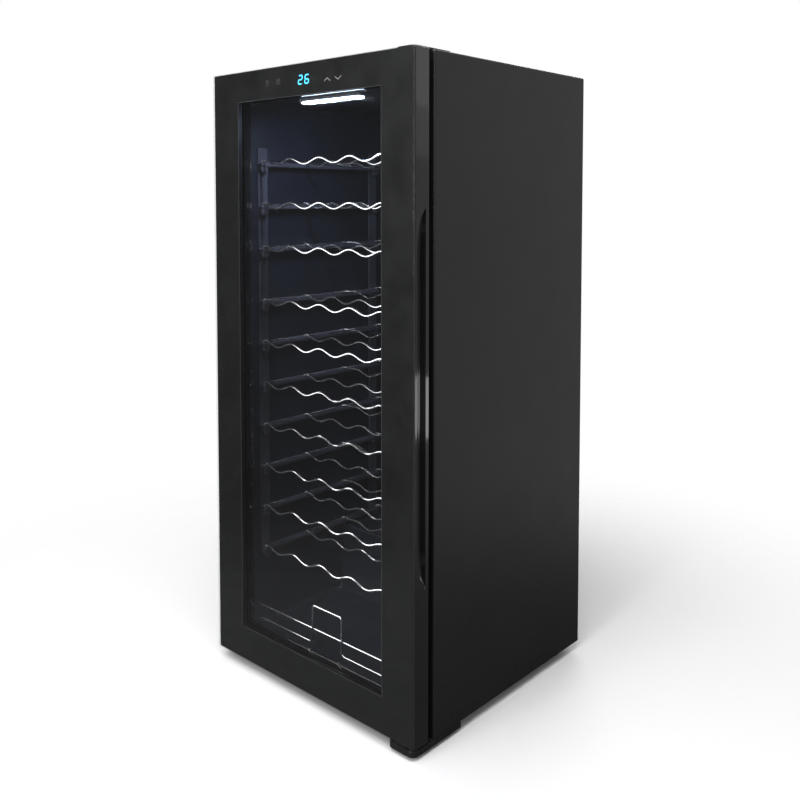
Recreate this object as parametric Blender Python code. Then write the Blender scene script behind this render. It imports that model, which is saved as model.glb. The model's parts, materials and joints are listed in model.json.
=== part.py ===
"""Free-standing wine cooler for fifty-five bottles: insulated cabinet, glazed door, ten wave-wire shelves.

Frame: metres, +Z up, the door faces -Y, +X is the right-hand side of someone who faces the door.
The origin is on the floor, under the middle of the cabinet's footprint.
"""

import math

import bmesh
import bpy
from mathutils import Matrix, Vector

# Driving dimensions
WIDTH = 0.583
DEPTH = 0.566
BODY_HEIGHT = 1.270
FOOT_HEIGHT = 0.020
DOOR_THICKNESS = 0.043
DOOR_TO_CABINET = 0.014
GAP = 0.0003
BEYOND = 0.01

# Cabinet walls
SHEET = 0.0015
PAN_SHEET = 0.002
SIDE_WALL = 0.052
TOP_WALL = 0.058
FLOOR_WALL = 0.045
LINER = 0.002
FLANGE = 0.042
CONDENSER_RECESS = 0.025
REAR_WALL = 0.030

# Machine bay, under the step in the liner
BAY_DEPTH = 0.190
BAY_TOP = 0.185
STEP_WALL = 0.035

# Shelves
PITCH = 0.090
TROUGHS = 5
WAVE_HEIGHT = 0.012
WIRE_RADIUS = 0.00225
SHELF_FRONT = 0.085
WAVE_SPACING = 0.120
WAVES = 4
LOWER_SHELVES = 7
LOWER_SHELF_Z = 0.234
LOWER_SHELF_PITCH = 0.0928
UPPER_SHELVES = 3
UPPER_SHELF_Z = 0.909
UPPER_SHELF_PITCH = 0.094
RAIL_X = 0.2255
RAIL_DROP = 0.0035
LEDGE_REACH = 0.0175
LEDGE_HEIGHT = 0.010
LEDGE_SLOPE = 0.004
STRIP = 0.003
STRIP_FOOT = 0.002
STRIP_HEAD = 0.040

# Bottle guard
GUARD_TOP_Z = 0.103
GUARD_LOW_Z = 0.0745
LOOP_Z = 0.156
LOOP_LEFT = -0.068
LOOP_RIGHT = 0.021
LOOP_BEND = 0.008

# Ceiling lamp
LAMP_HALF = 0.088
LAMP_FRONT = 0.068
LAMP_BACK = 0.094
LAMP_HEIGHT = 0.007
LENS_HEIGHT = 0.005
LENS_EDGE = 0.003

# Air duct and fan
DUCT_HALF = 0.170
DUCT_LOW = 0.300
DUCT_HIGH = 1.150
DUCT_DEPTH = 0.035
DUCT_WALL = 0.002
SLOT_ROWS = 7
SLOT = 0.006
SLOT_EDGE = 0.004
FAN_Z = 0.855
FAN_RADIUS = 0.045
FAN_BLADES = 7
FIN_COUNT = 9

# Condenser and drier
COIL_HALF = 0.235
COIL_BOTTOM = 0.300
COIL_RUNS = 14
COIL_RISE = 0.062
COIL_RADIUS = 0.0025
COIL_BRACKET_X = 0.165
COIL_BRACKET_WIDTH = 0.012
RETURN_X = -0.257
RETURN_Z = 0.200
DRIER_RADIUS = 0.009
DRIER_X = -0.100
DRIER_BOTTOM = 0.080
DRIER_TOP = 0.170

# Compressor
COMPRESSOR_X = 0.070
GROMMET_HEIGHT = 0.012
GROMMET_RADIUS = 0.010
PIPE_RADIUS = 0.003
FOOT_PLATE_HALF = (0.095, 0.055)
FOOT_PLATE_SHEET = 0.002
GROMMET_SPOTS = (0.080, 0.042)
RELAY_LOW = (0.0675, -0.022, 0.030)
RELAY_HIGH = (0.094, 0.022, 0.085)
TRAY_HALF = (0.080, 0.060)
TRAY_BOTTOM = 0.148
TRAY_TOP = 0.172
TRAY_WALL = 0.002

# Electronics box and mains inlet
BOX_LEFT = -0.262
BOX_RIGHT = -0.172
BOX_DEPTH = 0.098
BOX_TOP = 0.110
INLET_HALF = 0.014
INLET_DEPTH = 0.018
INLET_LOW = 0.052
INLET_HIGH = 0.074
INLET_WALL = 0.002
INLET_BACK_WALL = 0.003

# Door
CLEAR_HALF_WIDTH = 0.2095
CLEAR_BOTTOM = 0.092
CLEAR_TOP = 1.2275
PANE = 0.004
GLAZING_REBATE = 0.010
GLAZING_CAVITY = 0.012
DOOR_PLAY = 0.0005
GRIP_FRONT = 0.008
GRIP_BACK = 0.033
GRIP_BOTTOM = 0.319
GRIP_TOP = 1.005
GRIP_DEPTH = 0.018
GRIP_WALL = 0.0012
DISPLAY_LOW = (-0.110, 1.240)
DISPLAY_HIGH = (0.110, 1.274)
DISPLAY_DEPTH = 0.015
GASKET_WIDTH = 0.020
GASKET_BOTTOM = 0.015
GASKET_TOP = 0.020
GASKET_SHORT = 0.001

# Hinges
HINGE_INSET_X = 0.021
HINGE_INSET_Y = 0.023
PIN_RADIUS = 0.004
BUSH_RADIUS = 0.0067
BUSH_LENGTH = 0.020
BRACKET_BOTTOM = 0.007
BRACKET_LENGTH = 0.138
BRACKET_WIDTH = 0.066
BRACKET_WALL = 0.003
BRACKET_TOP_WALL = 0.005
BRACKET_CORNER = 0.014
BORE_PLAY = 0.0003
BUSH_PLAY = 0.001
PIN_PLAY = 0.002
PLATE_INSET = 0.010
PLATE_CORNER = 0.010
PLATE_WIDTH = 0.045
PLATE_SHEET = 0.003
PLATE_FRONT = 0.012
PLATE_REACH = 0.055

# Feet
FOOT_X = 0.255
FOOT_FRONT = 0.105
FOOT_REAR = 0.508
FOOT_RADIUS = 0.018
FOOT_PAD_TOP = 0.007
STEM_RADIUS = 0.004

# Places that follow from the above
HALF = WIDTH / 2
FRONT = -DEPTH / 2
REAR = DEPTH / 2
BOTTOM = FOOT_HEIGHT
TOP = BOTTOM + BODY_HEIGHT
DOOR_BACK = FRONT + DOOR_THICKNESS
CABINET_FRONT = DOOR_BACK + DOOR_TO_CABINET
DOOR_BOTTOM = BOTTOM + DOOR_PLAY
DOOR_TOP = TOP - DOOR_PLAY
CAVITY_HALF = HALF - SIDE_WALL
CAVITY_FLOOR = BOTTOM + FLOOR_WALL
CAVITY_TOP = TOP - TOP_WALL
BACK_PANEL_Y = REAR - CONDENSER_RECESS
CAVITY_BACK = BACK_PANEL_Y - REAR_WALL
BAY_FRONT = REAR - BAY_DEPTH
STEP_FRONT = BAY_FRONT - STEP_WALL
STEP_TOP = BAY_TOP + STEP_WALL
HINGE_X = HALF - HINGE_INSET_X
HINGE_Y = FRONT + HINGE_INSET_Y
SHELF_Y = FRONT + SHELF_FRONT
SHELF_BACK = SHELF_Y + (WAVES - 1) * WAVE_SPACING
SHELF_HEIGHTS = [LOWER_SHELF_Z + n * LOWER_SHELF_PITCH for n in range(LOWER_SHELVES)]
SHELF_HEIGHTS += [UPPER_SHELF_Z + n * UPPER_SHELF_PITCH for n in range(UPPER_SHELVES)]
DUCT_FRONT = CAVITY_BACK - DUCT_DEPTH
FAN_Y = DUCT_FRONT + 0.016
COIL_Y = REAR - 0.008
DRIER_Y = REAR - 0.014
COMPRESSOR_Y = REAR - 0.090
PAN_TOP = BOTTOM + PAN_SHEET
PLATE_Z = PAN_TOP + GROMMET_HEIGHT + 2 * GAP
INLET_FACE = REAR - 0.022


def clear_scene():
    for obj in list(bpy.data.objects):
        bpy.data.objects.remove(obj, do_unlink=True)


def make_material(name, colour, roughness, metallic=0.0, alpha=1.0):
    material = bpy.data.materials.new(name)
    material.use_nodes = True
    shader = material.node_tree.nodes["Principled BSDF"]
    shader.inputs["Base Color"].default_value = (*colour, 1.0)
    shader.inputs["Roughness"].default_value = roughness
    shader.inputs["Metallic"].default_value = metallic
    shader.inputs["Alpha"].default_value = alpha
    return material


def add_object(name, bm, material, origin=(0.0, 0.0, 0.0), smooth_angle=None):
    """Puts a bmesh, built in world coordinates, into the scene with its own origin."""
    bmesh.ops.recalc_face_normals(bm, faces=bm.faces)
    mesh = bpy.data.meshes.new(name)
    bm.to_mesh(mesh)
    bm.free()
    mesh.transform(Matrix.Translation(-Vector(origin)))
    if smooth_angle is not None:
        mesh.shade_smooth()
        mesh.set_sharp_from_angle(angle=math.radians(smooth_angle))
    obj = bpy.data.objects.new(name, mesh)
    obj.location = origin
    bpy.context.scene.collection.objects.link(obj)
    if material is not None:
        mesh.materials.append(material)
    return obj


def box_bmesh(low, high):
    bm = bmesh.new()
    size = Vector(high) - Vector(low)
    middle = (Vector(high) + Vector(low)) / 2
    bmesh.ops.create_cube(bm, size=1.0, matrix=Matrix.Translation(middle) @ Matrix.Diagonal((*size, 1.0)))
    return bm


def prism_bmesh(outline, axis, start, end):
    """An outline in the plane across an axis, extruded along it. Outline pairs follow X, Y, Z order."""
    others = [i for i in range(3) if i != axis]
    bm = bmesh.new()
    corners = []
    for pair in outline:
        point = [0.0, 0.0, 0.0]
        point[axis] = start
        point[others[0]] = pair[0]
        point[others[1]] = pair[1]
        corners.append(bm.verts.new(point))
    face = bm.faces.new(corners)
    extruded = bmesh.ops.extrude_face_region(bm, geom=[face])
    step = Vector((0.0, 0.0, 0.0))
    step[axis] = end - start
    moved = [item for item in extruded["geom"] if isinstance(item, bmesh.types.BMVert)]
    bmesh.ops.translate(bm, vec=step, verts=moved)
    return bm


def cylinder_bmesh(centre, axis, radius, start, end, sides):
    first, second = [centre[i] for i in range(3) if i != axis]
    outline = []
    for k in range(sides):
        angle = 2 * math.pi * (k + 0.5) / sides
        outline.append((first + radius * math.cos(angle), second + radius * math.sin(angle)))
    return prism_bmesh(outline, axis, start, end)


def turned_bmesh(profile, centre, sides):
    """A closed solid of revolution about +Z from (radius, height) points, the first and last on the axis."""
    bm = bmesh.new()
    verts = [bm.verts.new((centre[0] + r, centre[1], centre[2] + z)) for r, z in profile]
    edges = [bm.edges.new(pair) for pair in zip(verts, verts[1:])]
    bmesh.ops.spin(
        bm, geom=verts + edges, cent=centre, axis=(0.0, 0.0, 1.0), angle=2 * math.pi, steps=sides
    )
    bmesh.ops.remove_doubles(bm, verts=bm.verts, dist=1e-6)
    return bm


def wire_bmesh(points, radius, resolution=0, cyclic=False):
    """Round wire along points: a bevelled curve made into a mesh, four sides at resolution 0."""
    curve = bpy.data.curves.new("wire_path", "CURVE")
    curve.dimensions = "3D"
    curve.bevel_depth = radius
    curve.bevel_resolution = resolution
    curve.use_fill_caps = True
    spline = curve.splines.new("POLY")
    spline.points.add(len(points) - 1)
    for spot, point in zip(spline.points, points):
        spot.co = (*point, 1.0)
    spline.use_cyclic_u = cyclic
    carrier = bpy.data.objects.new("wire_path", curve)
    mesh = bpy.data.meshes.new_from_object(carrier)
    bm = bmesh.new()
    bm.from_mesh(mesh)
    bmesh.ops.remove_doubles(bm, verts=bm.verts, dist=1e-6)
    bmesh.ops.recalc_face_normals(bm, faces=bm.faces)
    bpy.data.objects.remove(carrier)
    bpy.data.curves.remove(curve)
    bpy.data.meshes.remove(mesh)
    return bm


def block(name, low, high, material):
    return add_object(name, box_bmesh(low, high), material)


def combine(target, pieces, operation):
    """Boolean modifiers that join hidden pieces to the target, or cut them out of it."""
    for index, bm in enumerate(pieces):
        tool = add_object(f"{target.name}_{operation.lower()}_{index}", bm, None)
        tool.hide_render = True
        tool.display_type = "WIRE"
        modifier = target.modifiers.new(tool.name, "BOOLEAN")
        modifier.operation = operation
        modifier.solver = "EXACT"
        modifier.object = tool
    return target


def cut(target, *pieces):
    return combine(target, pieces, "DIFFERENCE")


def join(target, *pieces):
    return combine(target, pieces, "UNION")


def ring(name, low, high, hole_low, hole_high, material):
    """A flat rectangular ring round the Y axis: low and high are its box, the hole is (x, z) to (x, z)."""
    body = block(name, low, high, material)
    start = (hole_low[0], low[1] - BEYOND, hole_low[1])
    return cut(body, box_bmesh(start, (hole_high[0], high[1] + BEYOND, hole_high[1])))


def cabinet_wrap(material):
    """Painted steel in one bent sheet: both sides, the top and the flange round the front."""
    body = block("cabinet_wrap", (-HALF, CABINET_FRONT, BOTTOM), (HALF, REAR, TOP), material)
    side = HALF - SHEET
    inside = box_bmesh((-side, CABINET_FRONT + SHEET, 0.0), (side, REAR + BEYOND, TOP - SHEET))
    mouth = box_bmesh((-HALF + FLANGE, CABINET_FRONT - BEYOND, 0.0), (HALF - FLANGE, 0.0, TOP - FLANGE))
    return cut(body, inside, mouth)


def base_pan(material):
    """Steel floor of the cabinet and of the machine bay, with an upstand behind the door's lower edge."""
    low = BOTTOM
    side = HALF - SHEET - GAP
    front = CABINET_FRONT + SHEET + GAP
    flange_side = HALF - FLANGE - GAP
    floor = block("base_pan", (-side, front, low), (side, BACK_PANEL_Y, low + PAN_SHEET), material)
    tail = box_bmesh((-side, BACK_PANEL_Y - 0.01, low), (side, REAR - 0.002, low + PAN_SHEET))
    apron = box_bmesh((-flange_side, CABINET_FRONT, low), (flange_side, front + PAN_SHEET, low + FLANGE))
    return join(floor, tail, apron)


def back_panel(material):
    side = HALF - SHEET - GAP
    low = (-side, BACK_PANEL_Y - SHEET, BAY_TOP + GAP)
    return block("back_panel", low, (side, BACK_PANEL_Y, TOP - SHEET - GAP), material)


def bay_divider(material):
    """Bent sheet that closes the foam towards the machine bay: front wall and ceiling."""
    side = HALF - SHEET - GAP
    low = BOTTOM + PAN_SHEET + GAP
    outline = [
        (BAY_FRONT, low),
        (BAY_FRONT + SHEET, low),
        (BAY_FRONT + SHEET, BAY_TOP - SHEET),
        (BACK_PANEL_Y, BAY_TOP - SHEET),
        (BACK_PANEL_Y, BAY_TOP),
        (BAY_FRONT, BAY_TOP),
    ]
    return add_object("bay_divider", prism_bmesh(outline, 0, -side, side), material)


def liner_profile(grow):
    """Side view of the cavity as (y, z) points, larger by a wall thickness."""
    return [
        (CABINET_FRONT, CAVITY_FLOOR - grow),
        (STEP_FRONT + grow, CAVITY_FLOOR - grow),
        (STEP_FRONT + grow, STEP_TOP - grow),
        (CAVITY_BACK + grow, STEP_TOP - grow),
        (CAVITY_BACK + grow, CAVITY_TOP + grow),
        (CABINET_FRONT, CAVITY_TOP + grow),
    ]


def inner_liner(material):
    """Vacuum-formed tub with the step over the machine bay, and the lip that hooks into the steel flange."""
    half = CAVITY_HALF
    tub = add_object(
        "inner_liner", prism_bmesh(liner_profile(LINER), 0, -half - LINER, half + LINER), material
    )
    lip = box_bmesh(
        (-HALF + FLANGE + GAP, CABINET_FRONT, BOTTOM + FLANGE + GAP),
        (HALF - FLANGE - GAP, CABINET_FRONT + LINER, TOP - FLANGE - GAP),
    )
    join(tub, lip)
    space = prism_bmesh(liner_profile(0.0), 0, -half, half)
    low = (-half, CABINET_FRONT - BEYOND, CAVITY_FLOOR)
    mouth = box_bmesh(low, (half, CABINET_FRONT + BEYOND, CAVITY_TOP))
    return cut(tub, space, mouth)


def insulation_foam(material):
    """Foam poured between the steel wrap, the back panel, the bay divider and the liner."""
    low = BOTTOM + PAN_SHEET + GAP
    side = HALF - SHEET - GAP
    front = CABINET_FRONT + SHEET + GAP + PAN_SHEET + GAP
    outline = [
        (front, low),
        (BAY_FRONT - GAP, low),
        (BAY_FRONT - GAP, BAY_TOP + GAP),
        (BACK_PANEL_Y - SHEET - GAP, BAY_TOP + GAP),
        (BACK_PANEL_Y - SHEET - GAP, TOP - SHEET - GAP),
        (front, TOP - SHEET - GAP),
    ]
    body = add_object("insulation_foam", prism_bmesh(outline, 0, -side, side), material)
    grow = LINER + GAP
    space = prism_bmesh(liner_profile(grow), 0, -CAVITY_HALF - grow, CAVITY_HALF + grow)
    return cut(body, space)


def shelf_support(name, side, material):
    """Moulded strip on the liner's side wall with a ledge under each shelf: a comb drawn out in depth."""
    wall = CAVITY_HALF - GAP
    strip = wall - STRIP
    tip = CAVITY_HALF - LEDGE_REACH
    foot = STEP_TOP + STRIP_FOOT
    head = SHELF_HEIGHTS[-1] + STRIP_HEAD
    outline = [(side * wall, foot), (side * strip, foot)]
    for height in SHELF_HEIGHTS:
        ledge = height + WAVE_HEIGHT - RAIL_DROP - WIRE_RADIUS - GAP
        outline += [
            (side * strip, ledge - LEDGE_HEIGHT - LEDGE_SLOPE),
            (side * tip, ledge - LEDGE_HEIGHT),
            (side * tip, ledge),
            (side * strip, ledge),
        ]
    outline += [(side * strip, head), (side * wall, head)]
    bm = prism_bmesh(outline, 1, SHELF_Y - 0.006, SHELF_BACK + 0.010)
    return add_object(name, bm, material)


def wave_points(y, trough_z, in_phase):
    """Stations along one wave wire: flats at the troughs and crests, level ends over the side rails."""
    stations = 4 * TROUGHS
    points = [(-RAIL_X, y, trough_z + WAVE_HEIGHT)]
    for k in range(stations):
        x = (k + 0.5 - stations / 2) * PITCH / 4
        low = math.cos(2 * math.pi * x / PITCH) > 0
        if not in_phase:
            low = not low and abs(x) < (TROUGHS // 2) * PITCH
        points.append((x, y, trough_z if low else trough_z + WAVE_HEIGHT))
    points.append((RAIL_X, y, trough_z + WAVE_HEIGHT))
    return points


def shelf_mesh(material):
    """One shelf, trough wires at z = 0: wave wires across, joined by a rail under each end of them.

    The two rear waves are half a pitch out of step, so that a neck lies on a crest."""
    rail_z = WAVE_HEIGHT - RAIL_DROP
    rails = [
        wire_bmesh([(x, SHELF_Y - 0.004, rail_z), (x, SHELF_BACK + 0.004, rail_z)], WIRE_RADIUS)
        for x in (-RAIL_X, RAIL_X)
    ]
    waves = [
        wire_bmesh(wave_points(SHELF_Y + n * WAVE_SPACING, 0.0, n < WAVES // 2), WIRE_RADIUS)
        for n in range(WAVES)
    ]
    shelf = add_object("shelf_pattern", waves[0], material)
    join(shelf, *rails, *waves[1:])
    graph = bpy.context.evaluated_depsgraph_get()
    mesh = bpy.data.meshes.new_from_object(shelf.evaluated_get(graph))
    mesh.name = "wave_shelf"
    for obj in [shelf, *(modifier.object for modifier in shelf.modifiers)]:
        bpy.data.objects.remove(obj, do_unlink=True)
    return mesh


def shelves(material):
    mesh = shelf_mesh(material)
    for index, height in enumerate(SHELF_HEIGHTS):
        shelf = bpy.data.objects.new(f"shelf_{index + 1}", mesh)
        shelf.location = (0.0, 0.0, height)
        bpy.context.scene.collection.objects.link(shelf)


def bottle_guard(material):
    """Wire fence of the bottom compartment: a straight top wire, and a lower wire with a raised loop."""
    radius = WIRE_RADIUS
    end = CAVITY_HALF - GAP
    top = wire_bmesh([(-end, SHELF_Y, GUARD_TOP_Z), (end, SHELF_Y, GUARD_TOP_Z)], radius)
    lower_path = [
        (-end, GUARD_LOW_Z),
        (LOOP_LEFT - LOOP_BEND, GUARD_LOW_Z),
        (LOOP_LEFT, GUARD_LOW_Z + LOOP_BEND),
        (LOOP_LEFT, LOOP_Z - LOOP_BEND),
        (LOOP_LEFT + LOOP_BEND, LOOP_Z),
        (LOOP_RIGHT - LOOP_BEND, LOOP_Z),
        (LOOP_RIGHT, LOOP_Z - LOOP_BEND),
        (LOOP_RIGHT, GUARD_LOW_Z + LOOP_BEND),
        (LOOP_RIGHT + LOOP_BEND, GUARD_LOW_Z),
        (end, GUARD_LOW_Z),
    ]
    front = SHELF_Y - 1.5 * radius
    lower = wire_bmesh([(x, front, z) for x, z in lower_path], radius)
    guard = add_object("bottle_guard", top, material)
    return join(guard, lower)


def air_duct_cover(material):
    """Moulded cover over the evaporator, open at its back, with slots in front of the fan."""
    back = CAVITY_BACK - GAP
    wall = DUCT_WALL
    body = block(
        "air_duct_cover", (-DUCT_HALF, DUCT_FRONT, DUCT_LOW), (DUCT_HALF, back, DUCT_HIGH), material
    )
    hollow = box_bmesh(
        (-DUCT_HALF + wall, DUCT_FRONT + wall, DUCT_LOW + wall),
        (DUCT_HALF - wall, back + BEYOND, DUCT_HIGH - wall),
    )
    slots = []
    for row in range(SLOT_ROWS):
        rise = (row - (SLOT_ROWS - 1) / 2) * 2 * SLOT
        reach = math.sqrt(FAN_RADIUS**2 - rise**2) - SLOT_EDGE
        low = (-reach, DUCT_FRONT - BEYOND, FAN_Z + rise - SLOT / 2)
        slots.append(box_bmesh(low, (reach, DUCT_FRONT + 0.005, FAN_Z + rise + SLOT / 2)))
    return cut(body, hollow, *slots)


def evaporator(material):
    """Finned plate behind the duct cover: a base plate with upright fins on its front."""
    half = 0.120
    low_z = 0.380
    high_z = 0.720
    plate = 0.003
    fin = 0.0008
    fin_front = 0.020
    edge = 0.006
    inset = 0.004
    back = CAVITY_BACK - plate
    body = block("evaporator", (-half, back - plate, low_z), (half, back, high_z), material)
    fins = []
    for k in range(FIN_COUNT):
        x = -half + edge + k * 2 * (half - edge) / (FIN_COUNT - 1)
        low = (x - fin, back - fin_front, low_z + inset)
        fins.append(box_bmesh(low, (x + fin, back - 2 * plate / 3, high_z - inset)))
    return join(body, *fins)


def fan_frame(material):
    """Square plate with the fan's round opening, and a bar behind it that carries the motor."""
    half = 0.054
    front = FAN_Y - 0.007
    back = front + 0.010
    clear = 0.002
    bar_half = 0.006
    bar_depth = 0.003
    body = block("evaporator_fan_frame", (-half, front, FAN_Z - half), (half, back, FAN_Z + half), material)
    centre = (0.0, 0.0, FAN_Z)
    opening = cylinder_bmesh(centre, 1, FAN_RADIUS + clear, front - BEYOND, back + BEYOND, 24)
    bar = box_bmesh((-half, back - GAP, FAN_Z - bar_half), (half, back + bar_depth, FAN_Z + bar_half))
    return join(cut(body, opening), bar)


def fan_rotor(material):
    """Hub with seven pitched blades, turning about the Y axis through its centre."""
    centre = (0.0, FAN_Y, FAN_Z)
    hub_radius = 0.016
    root = 0.012
    chord = 0.010
    thick = 0.0008
    pitch = Matrix.Rotation(math.radians(18), 4, "Z")
    shift = Matrix.Translation((0.0, FAN_Y - 0.002, FAN_Z))
    hub = cylinder_bmesh(centre, 1, hub_radius, FAN_Y - 0.006, FAN_Y + 0.0022, 14)
    body = add_object("evaporator_fan", hub, material, origin=centre, smooth_angle=30)
    pieces = []
    for k in range(FAN_BLADES):
        blade = box_bmesh((-chord, -thick, root), (chord, thick, FAN_RADIUS - 0.001))
        place = Matrix.Rotation(2 * math.pi * k / FAN_BLADES, 4, "Y")
        bmesh.ops.transform(blade, matrix=shift @ place @ pitch, verts=blade.verts)
        pieces.append(blade)
    return join(body, *pieces)


def led_light(housing_material, lens_material):
    """Lamp on the cavity's ceiling, just behind the glass: a flat housing with a lens under it."""
    front = FRONT + LAMP_FRONT
    back = FRONT + LAMP_BACK
    split = CAVITY_TOP - LAMP_HEIGHT
    block("led_housing", (-LAMP_HALF, front, split), (LAMP_HALF, back, CAVITY_TOP - GAP), housing_material)
    half = LAMP_HALF - LENS_EDGE
    low = (-half, front + LENS_EDGE, split - GAP - LENS_HEIGHT)
    block("led_lens", low, (half, back - LENS_EDGE, split - GAP), lens_material)


def condenser(tube_material, bracket_material):
    """Serpentine tube across the recess in the back, on an upright bracket at each side.

    Its last run returns down the left side to the filter drier."""
    bend = COIL_RISE / 2
    shoulder = 0.3 * bend
    points = []
    for k in range(COIL_RUNS):
        z = COIL_BOTTOM + k * COIL_RISE
        side = 1 if k % 2 == 0 else -1
        points.append((-side * (COIL_HALF - bend), COIL_Y, z))
        points.append((side * (COIL_HALF - bend), COIL_Y, z))
        if k < COIL_RUNS - 1:
            points.append((side * (COIL_HALF - shoulder), COIL_Y, z + shoulder))
            points.append((side * COIL_HALF, COIL_Y, z + bend))
            points.append((side * (COIL_HALF - shoulder), COIL_Y, z + COIL_RISE - shoulder))
    last_z = COIL_BOTTOM + (COIL_RUNS - 1) * COIL_RISE
    points += [
        (RETURN_X + 0.010, COIL_Y, last_z - 0.004),
        (RETURN_X, COIL_Y, last_z - 0.020),
        (RETURN_X, COIL_Y, RETURN_Z + 0.025),
        (RETURN_X + 0.012, COIL_Y, RETURN_Z + 0.005),
        (DRIER_X - 0.030, COIL_Y, RETURN_Z),
        (DRIER_X - 0.006, DRIER_Y, RETURN_Z - 0.004),
        (DRIER_X, DRIER_Y, RETURN_Z - 0.014),
        (DRIER_X, DRIER_Y, DRIER_TOP + GAP),
    ]
    add_object("condenser_coil", wire_bmesh(points, COIL_RADIUS), tube_material, smooth_angle=60)
    beyond_coil = 0.020
    for name, side in (("condenser_bracket_left", -1), ("condenser_bracket_right", 1)):
        edges = sorted((side * COIL_BRACKET_X, side * (COIL_BRACKET_X + COIL_BRACKET_WIDTH)))
        low = (edges[0], BACK_PANEL_Y + GAP, COIL_BOTTOM - beyond_coil)
        high = (edges[1], COIL_Y - COIL_RADIUS - GAP, last_z + beyond_coil)
        block(name, low, high, bracket_material)


def compressor_group(shell_material, plate_material, rubber_material, plastic_material):
    """Welded compressor shell on its foot plate and four rubber grommets, with the relay box on its side."""
    shell_bottom = PLATE_Z + FOOT_PLATE_SHEET + GAP
    profile = [
        (0.0, 0.0),
        (0.050, 0.0),
        (0.062, 0.012),
        (0.064, 0.050),
        (0.066, 0.052),
        (0.064, 0.054),
        (0.062, 0.080),
        (0.050, 0.098),
        (0.028, 0.108),
        (0.0, 0.110),
    ]
    centre = (COMPRESSOR_X, COMPRESSOR_Y, shell_bottom)
    add_object("compressor", turned_bmesh(profile, centre, 24), shell_material, smooth_angle=40)
    half_x, half_y = FOOT_PLATE_HALF
    low = (COMPRESSOR_X - half_x, COMPRESSOR_Y - half_y, PLATE_Z)
    high = (COMPRESSOR_X + half_x, COMPRESSOR_Y + half_y, PLATE_Z + FOOT_PLATE_SHEET)
    block("compressor_plate", low, high, plate_material)
    spread_x, spread_y = GROMMET_SPOTS
    corners = [(x, y) for x in (-spread_x, spread_x) for y in (-spread_y, spread_y)]
    foot = PAN_TOP + GAP
    for index, (x, y) in enumerate(corners):
        spot = (COMPRESSOR_X + x, COMPRESSOR_Y + y, 0.0)
        bm = cylinder_bmesh(spot, 2, GROMMET_RADIUS, foot, foot + GROMMET_HEIGHT, 12)
        add_object(f"compressor_grommet_{index + 1}", bm, rubber_material, smooth_angle=40)
    seat = Vector((COMPRESSOR_X, COMPRESSOR_Y, shell_bottom))
    block("relay_box", seat + Vector(RELAY_LOW), seat + Vector(RELAY_HIGH), plastic_material)


def drip_tray(material):
    """Open tray over the compressor, where the defrost water evaporates."""
    half_x, half_y = TRAY_HALF
    low = (COMPRESSOR_X - half_x, COMPRESSOR_Y - half_y, TRAY_BOTTOM)
    high = (COMPRESSOR_X + half_x, COMPRESSOR_Y + half_y, TRAY_TOP)
    body = block("drip_tray", low, high, material)
    start = Vector(low) + Vector((TRAY_WALL, TRAY_WALL, TRAY_WALL))
    end = (high[0] - TRAY_WALL, high[1] - TRAY_WALL, TRAY_TOP + BEYOND)
    return cut(body, box_bmesh(start, end))


def refrigerant_lines(pipe_material, drier_material):
    """Discharge line to the condenser, filter drier, and suction line back from the evaporator."""
    discharge = [
        (COMPRESSOR_X - 0.0665, COMPRESSOR_Y + 0.010, 0.075),
        (COMPRESSOR_X - 0.090, COMPRESSOR_Y + 0.020, 0.075),
        (COMPRESSOR_X - 0.105, COMPRESSOR_Y + 0.040, 0.090),
        (COMPRESSOR_X - 0.105, COIL_Y - 0.012, 0.130),
        (COMPRESSOR_X - 0.110, COIL_Y - 0.002, 0.210),
        (COMPRESSOR_X - 0.130, COIL_Y, 0.240),
        (-COIL_HALF + 0.020, COIL_Y, 0.255),
        (-COIL_HALF + 0.002, COIL_Y, 0.270),
        (-COIL_HALF + 0.004, COIL_Y, COIL_BOTTOM - 0.008),
        (-COIL_HALF + 0.014, COIL_Y, COIL_BOTTOM),
        (-COIL_HALF + COIL_RISE / 2 - GAP, COIL_Y, COIL_BOTTOM),
    ]
    add_object("discharge_line", wire_bmesh(discharge, PIPE_RADIUS, 1), pipe_material, smooth_angle=60)
    suction = [
        (COMPRESSOR_X - 0.0665, COMPRESSOR_Y - 0.014, 0.085),
        (COMPRESSOR_X - 0.100, COMPRESSOR_Y - 0.030, 0.085),
        (COMPRESSOR_X - 0.125, COMPRESSOR_Y - 0.036, 0.100),
        (COMPRESSOR_X - 0.130, COMPRESSOR_Y - 0.036, 0.178),
    ]
    add_object("suction_line", wire_bmesh(suction, PIPE_RADIUS, 1), pipe_material, smooth_angle=60)
    spot = (DRIER_X, DRIER_Y, 0.0)
    drier = cylinder_bmesh(spot, 2, DRIER_RADIUS, DRIER_BOTTOM, DRIER_TOP, 12)
    add_object("filter_drier", drier, drier_material, smooth_angle=40)


def power_box(material, inlet_material):
    """Electronics box on the bay floor, and the mains inlet on its rear face."""
    face = INLET_FACE
    block("power_box", (BOX_LEFT, face - BOX_DEPTH, PAN_TOP + GAP), (BOX_RIGHT, face, BOX_TOP), material)
    centre = (BOX_LEFT + BOX_RIGHT) / 2
    low = (centre - INLET_HALF, face + GAP, INLET_LOW)
    high = (centre + INLET_HALF, face + INLET_DEPTH, INLET_HIGH)
    inlet = block("mains_inlet", low, high, inlet_material)
    wall = INLET_WALL
    socket = box_bmesh(
        (low[0] + wall, low[1] + INLET_BACK_WALL, low[2] + wall),
        (high[0] - wall, high[1] + BEYOND, high[2] - wall),
    )
    return cut(inlet, socket)


def foot_spots():
    rows = (("front", FRONT + FOOT_FRONT), ("rear", FRONT + FOOT_REAR))
    sides = (("left", -1), ("right", 1))
    return [(f"foot_{row}_{side}", sign * FOOT_X, y) for row, y in rows for side, sign in sides]


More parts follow.
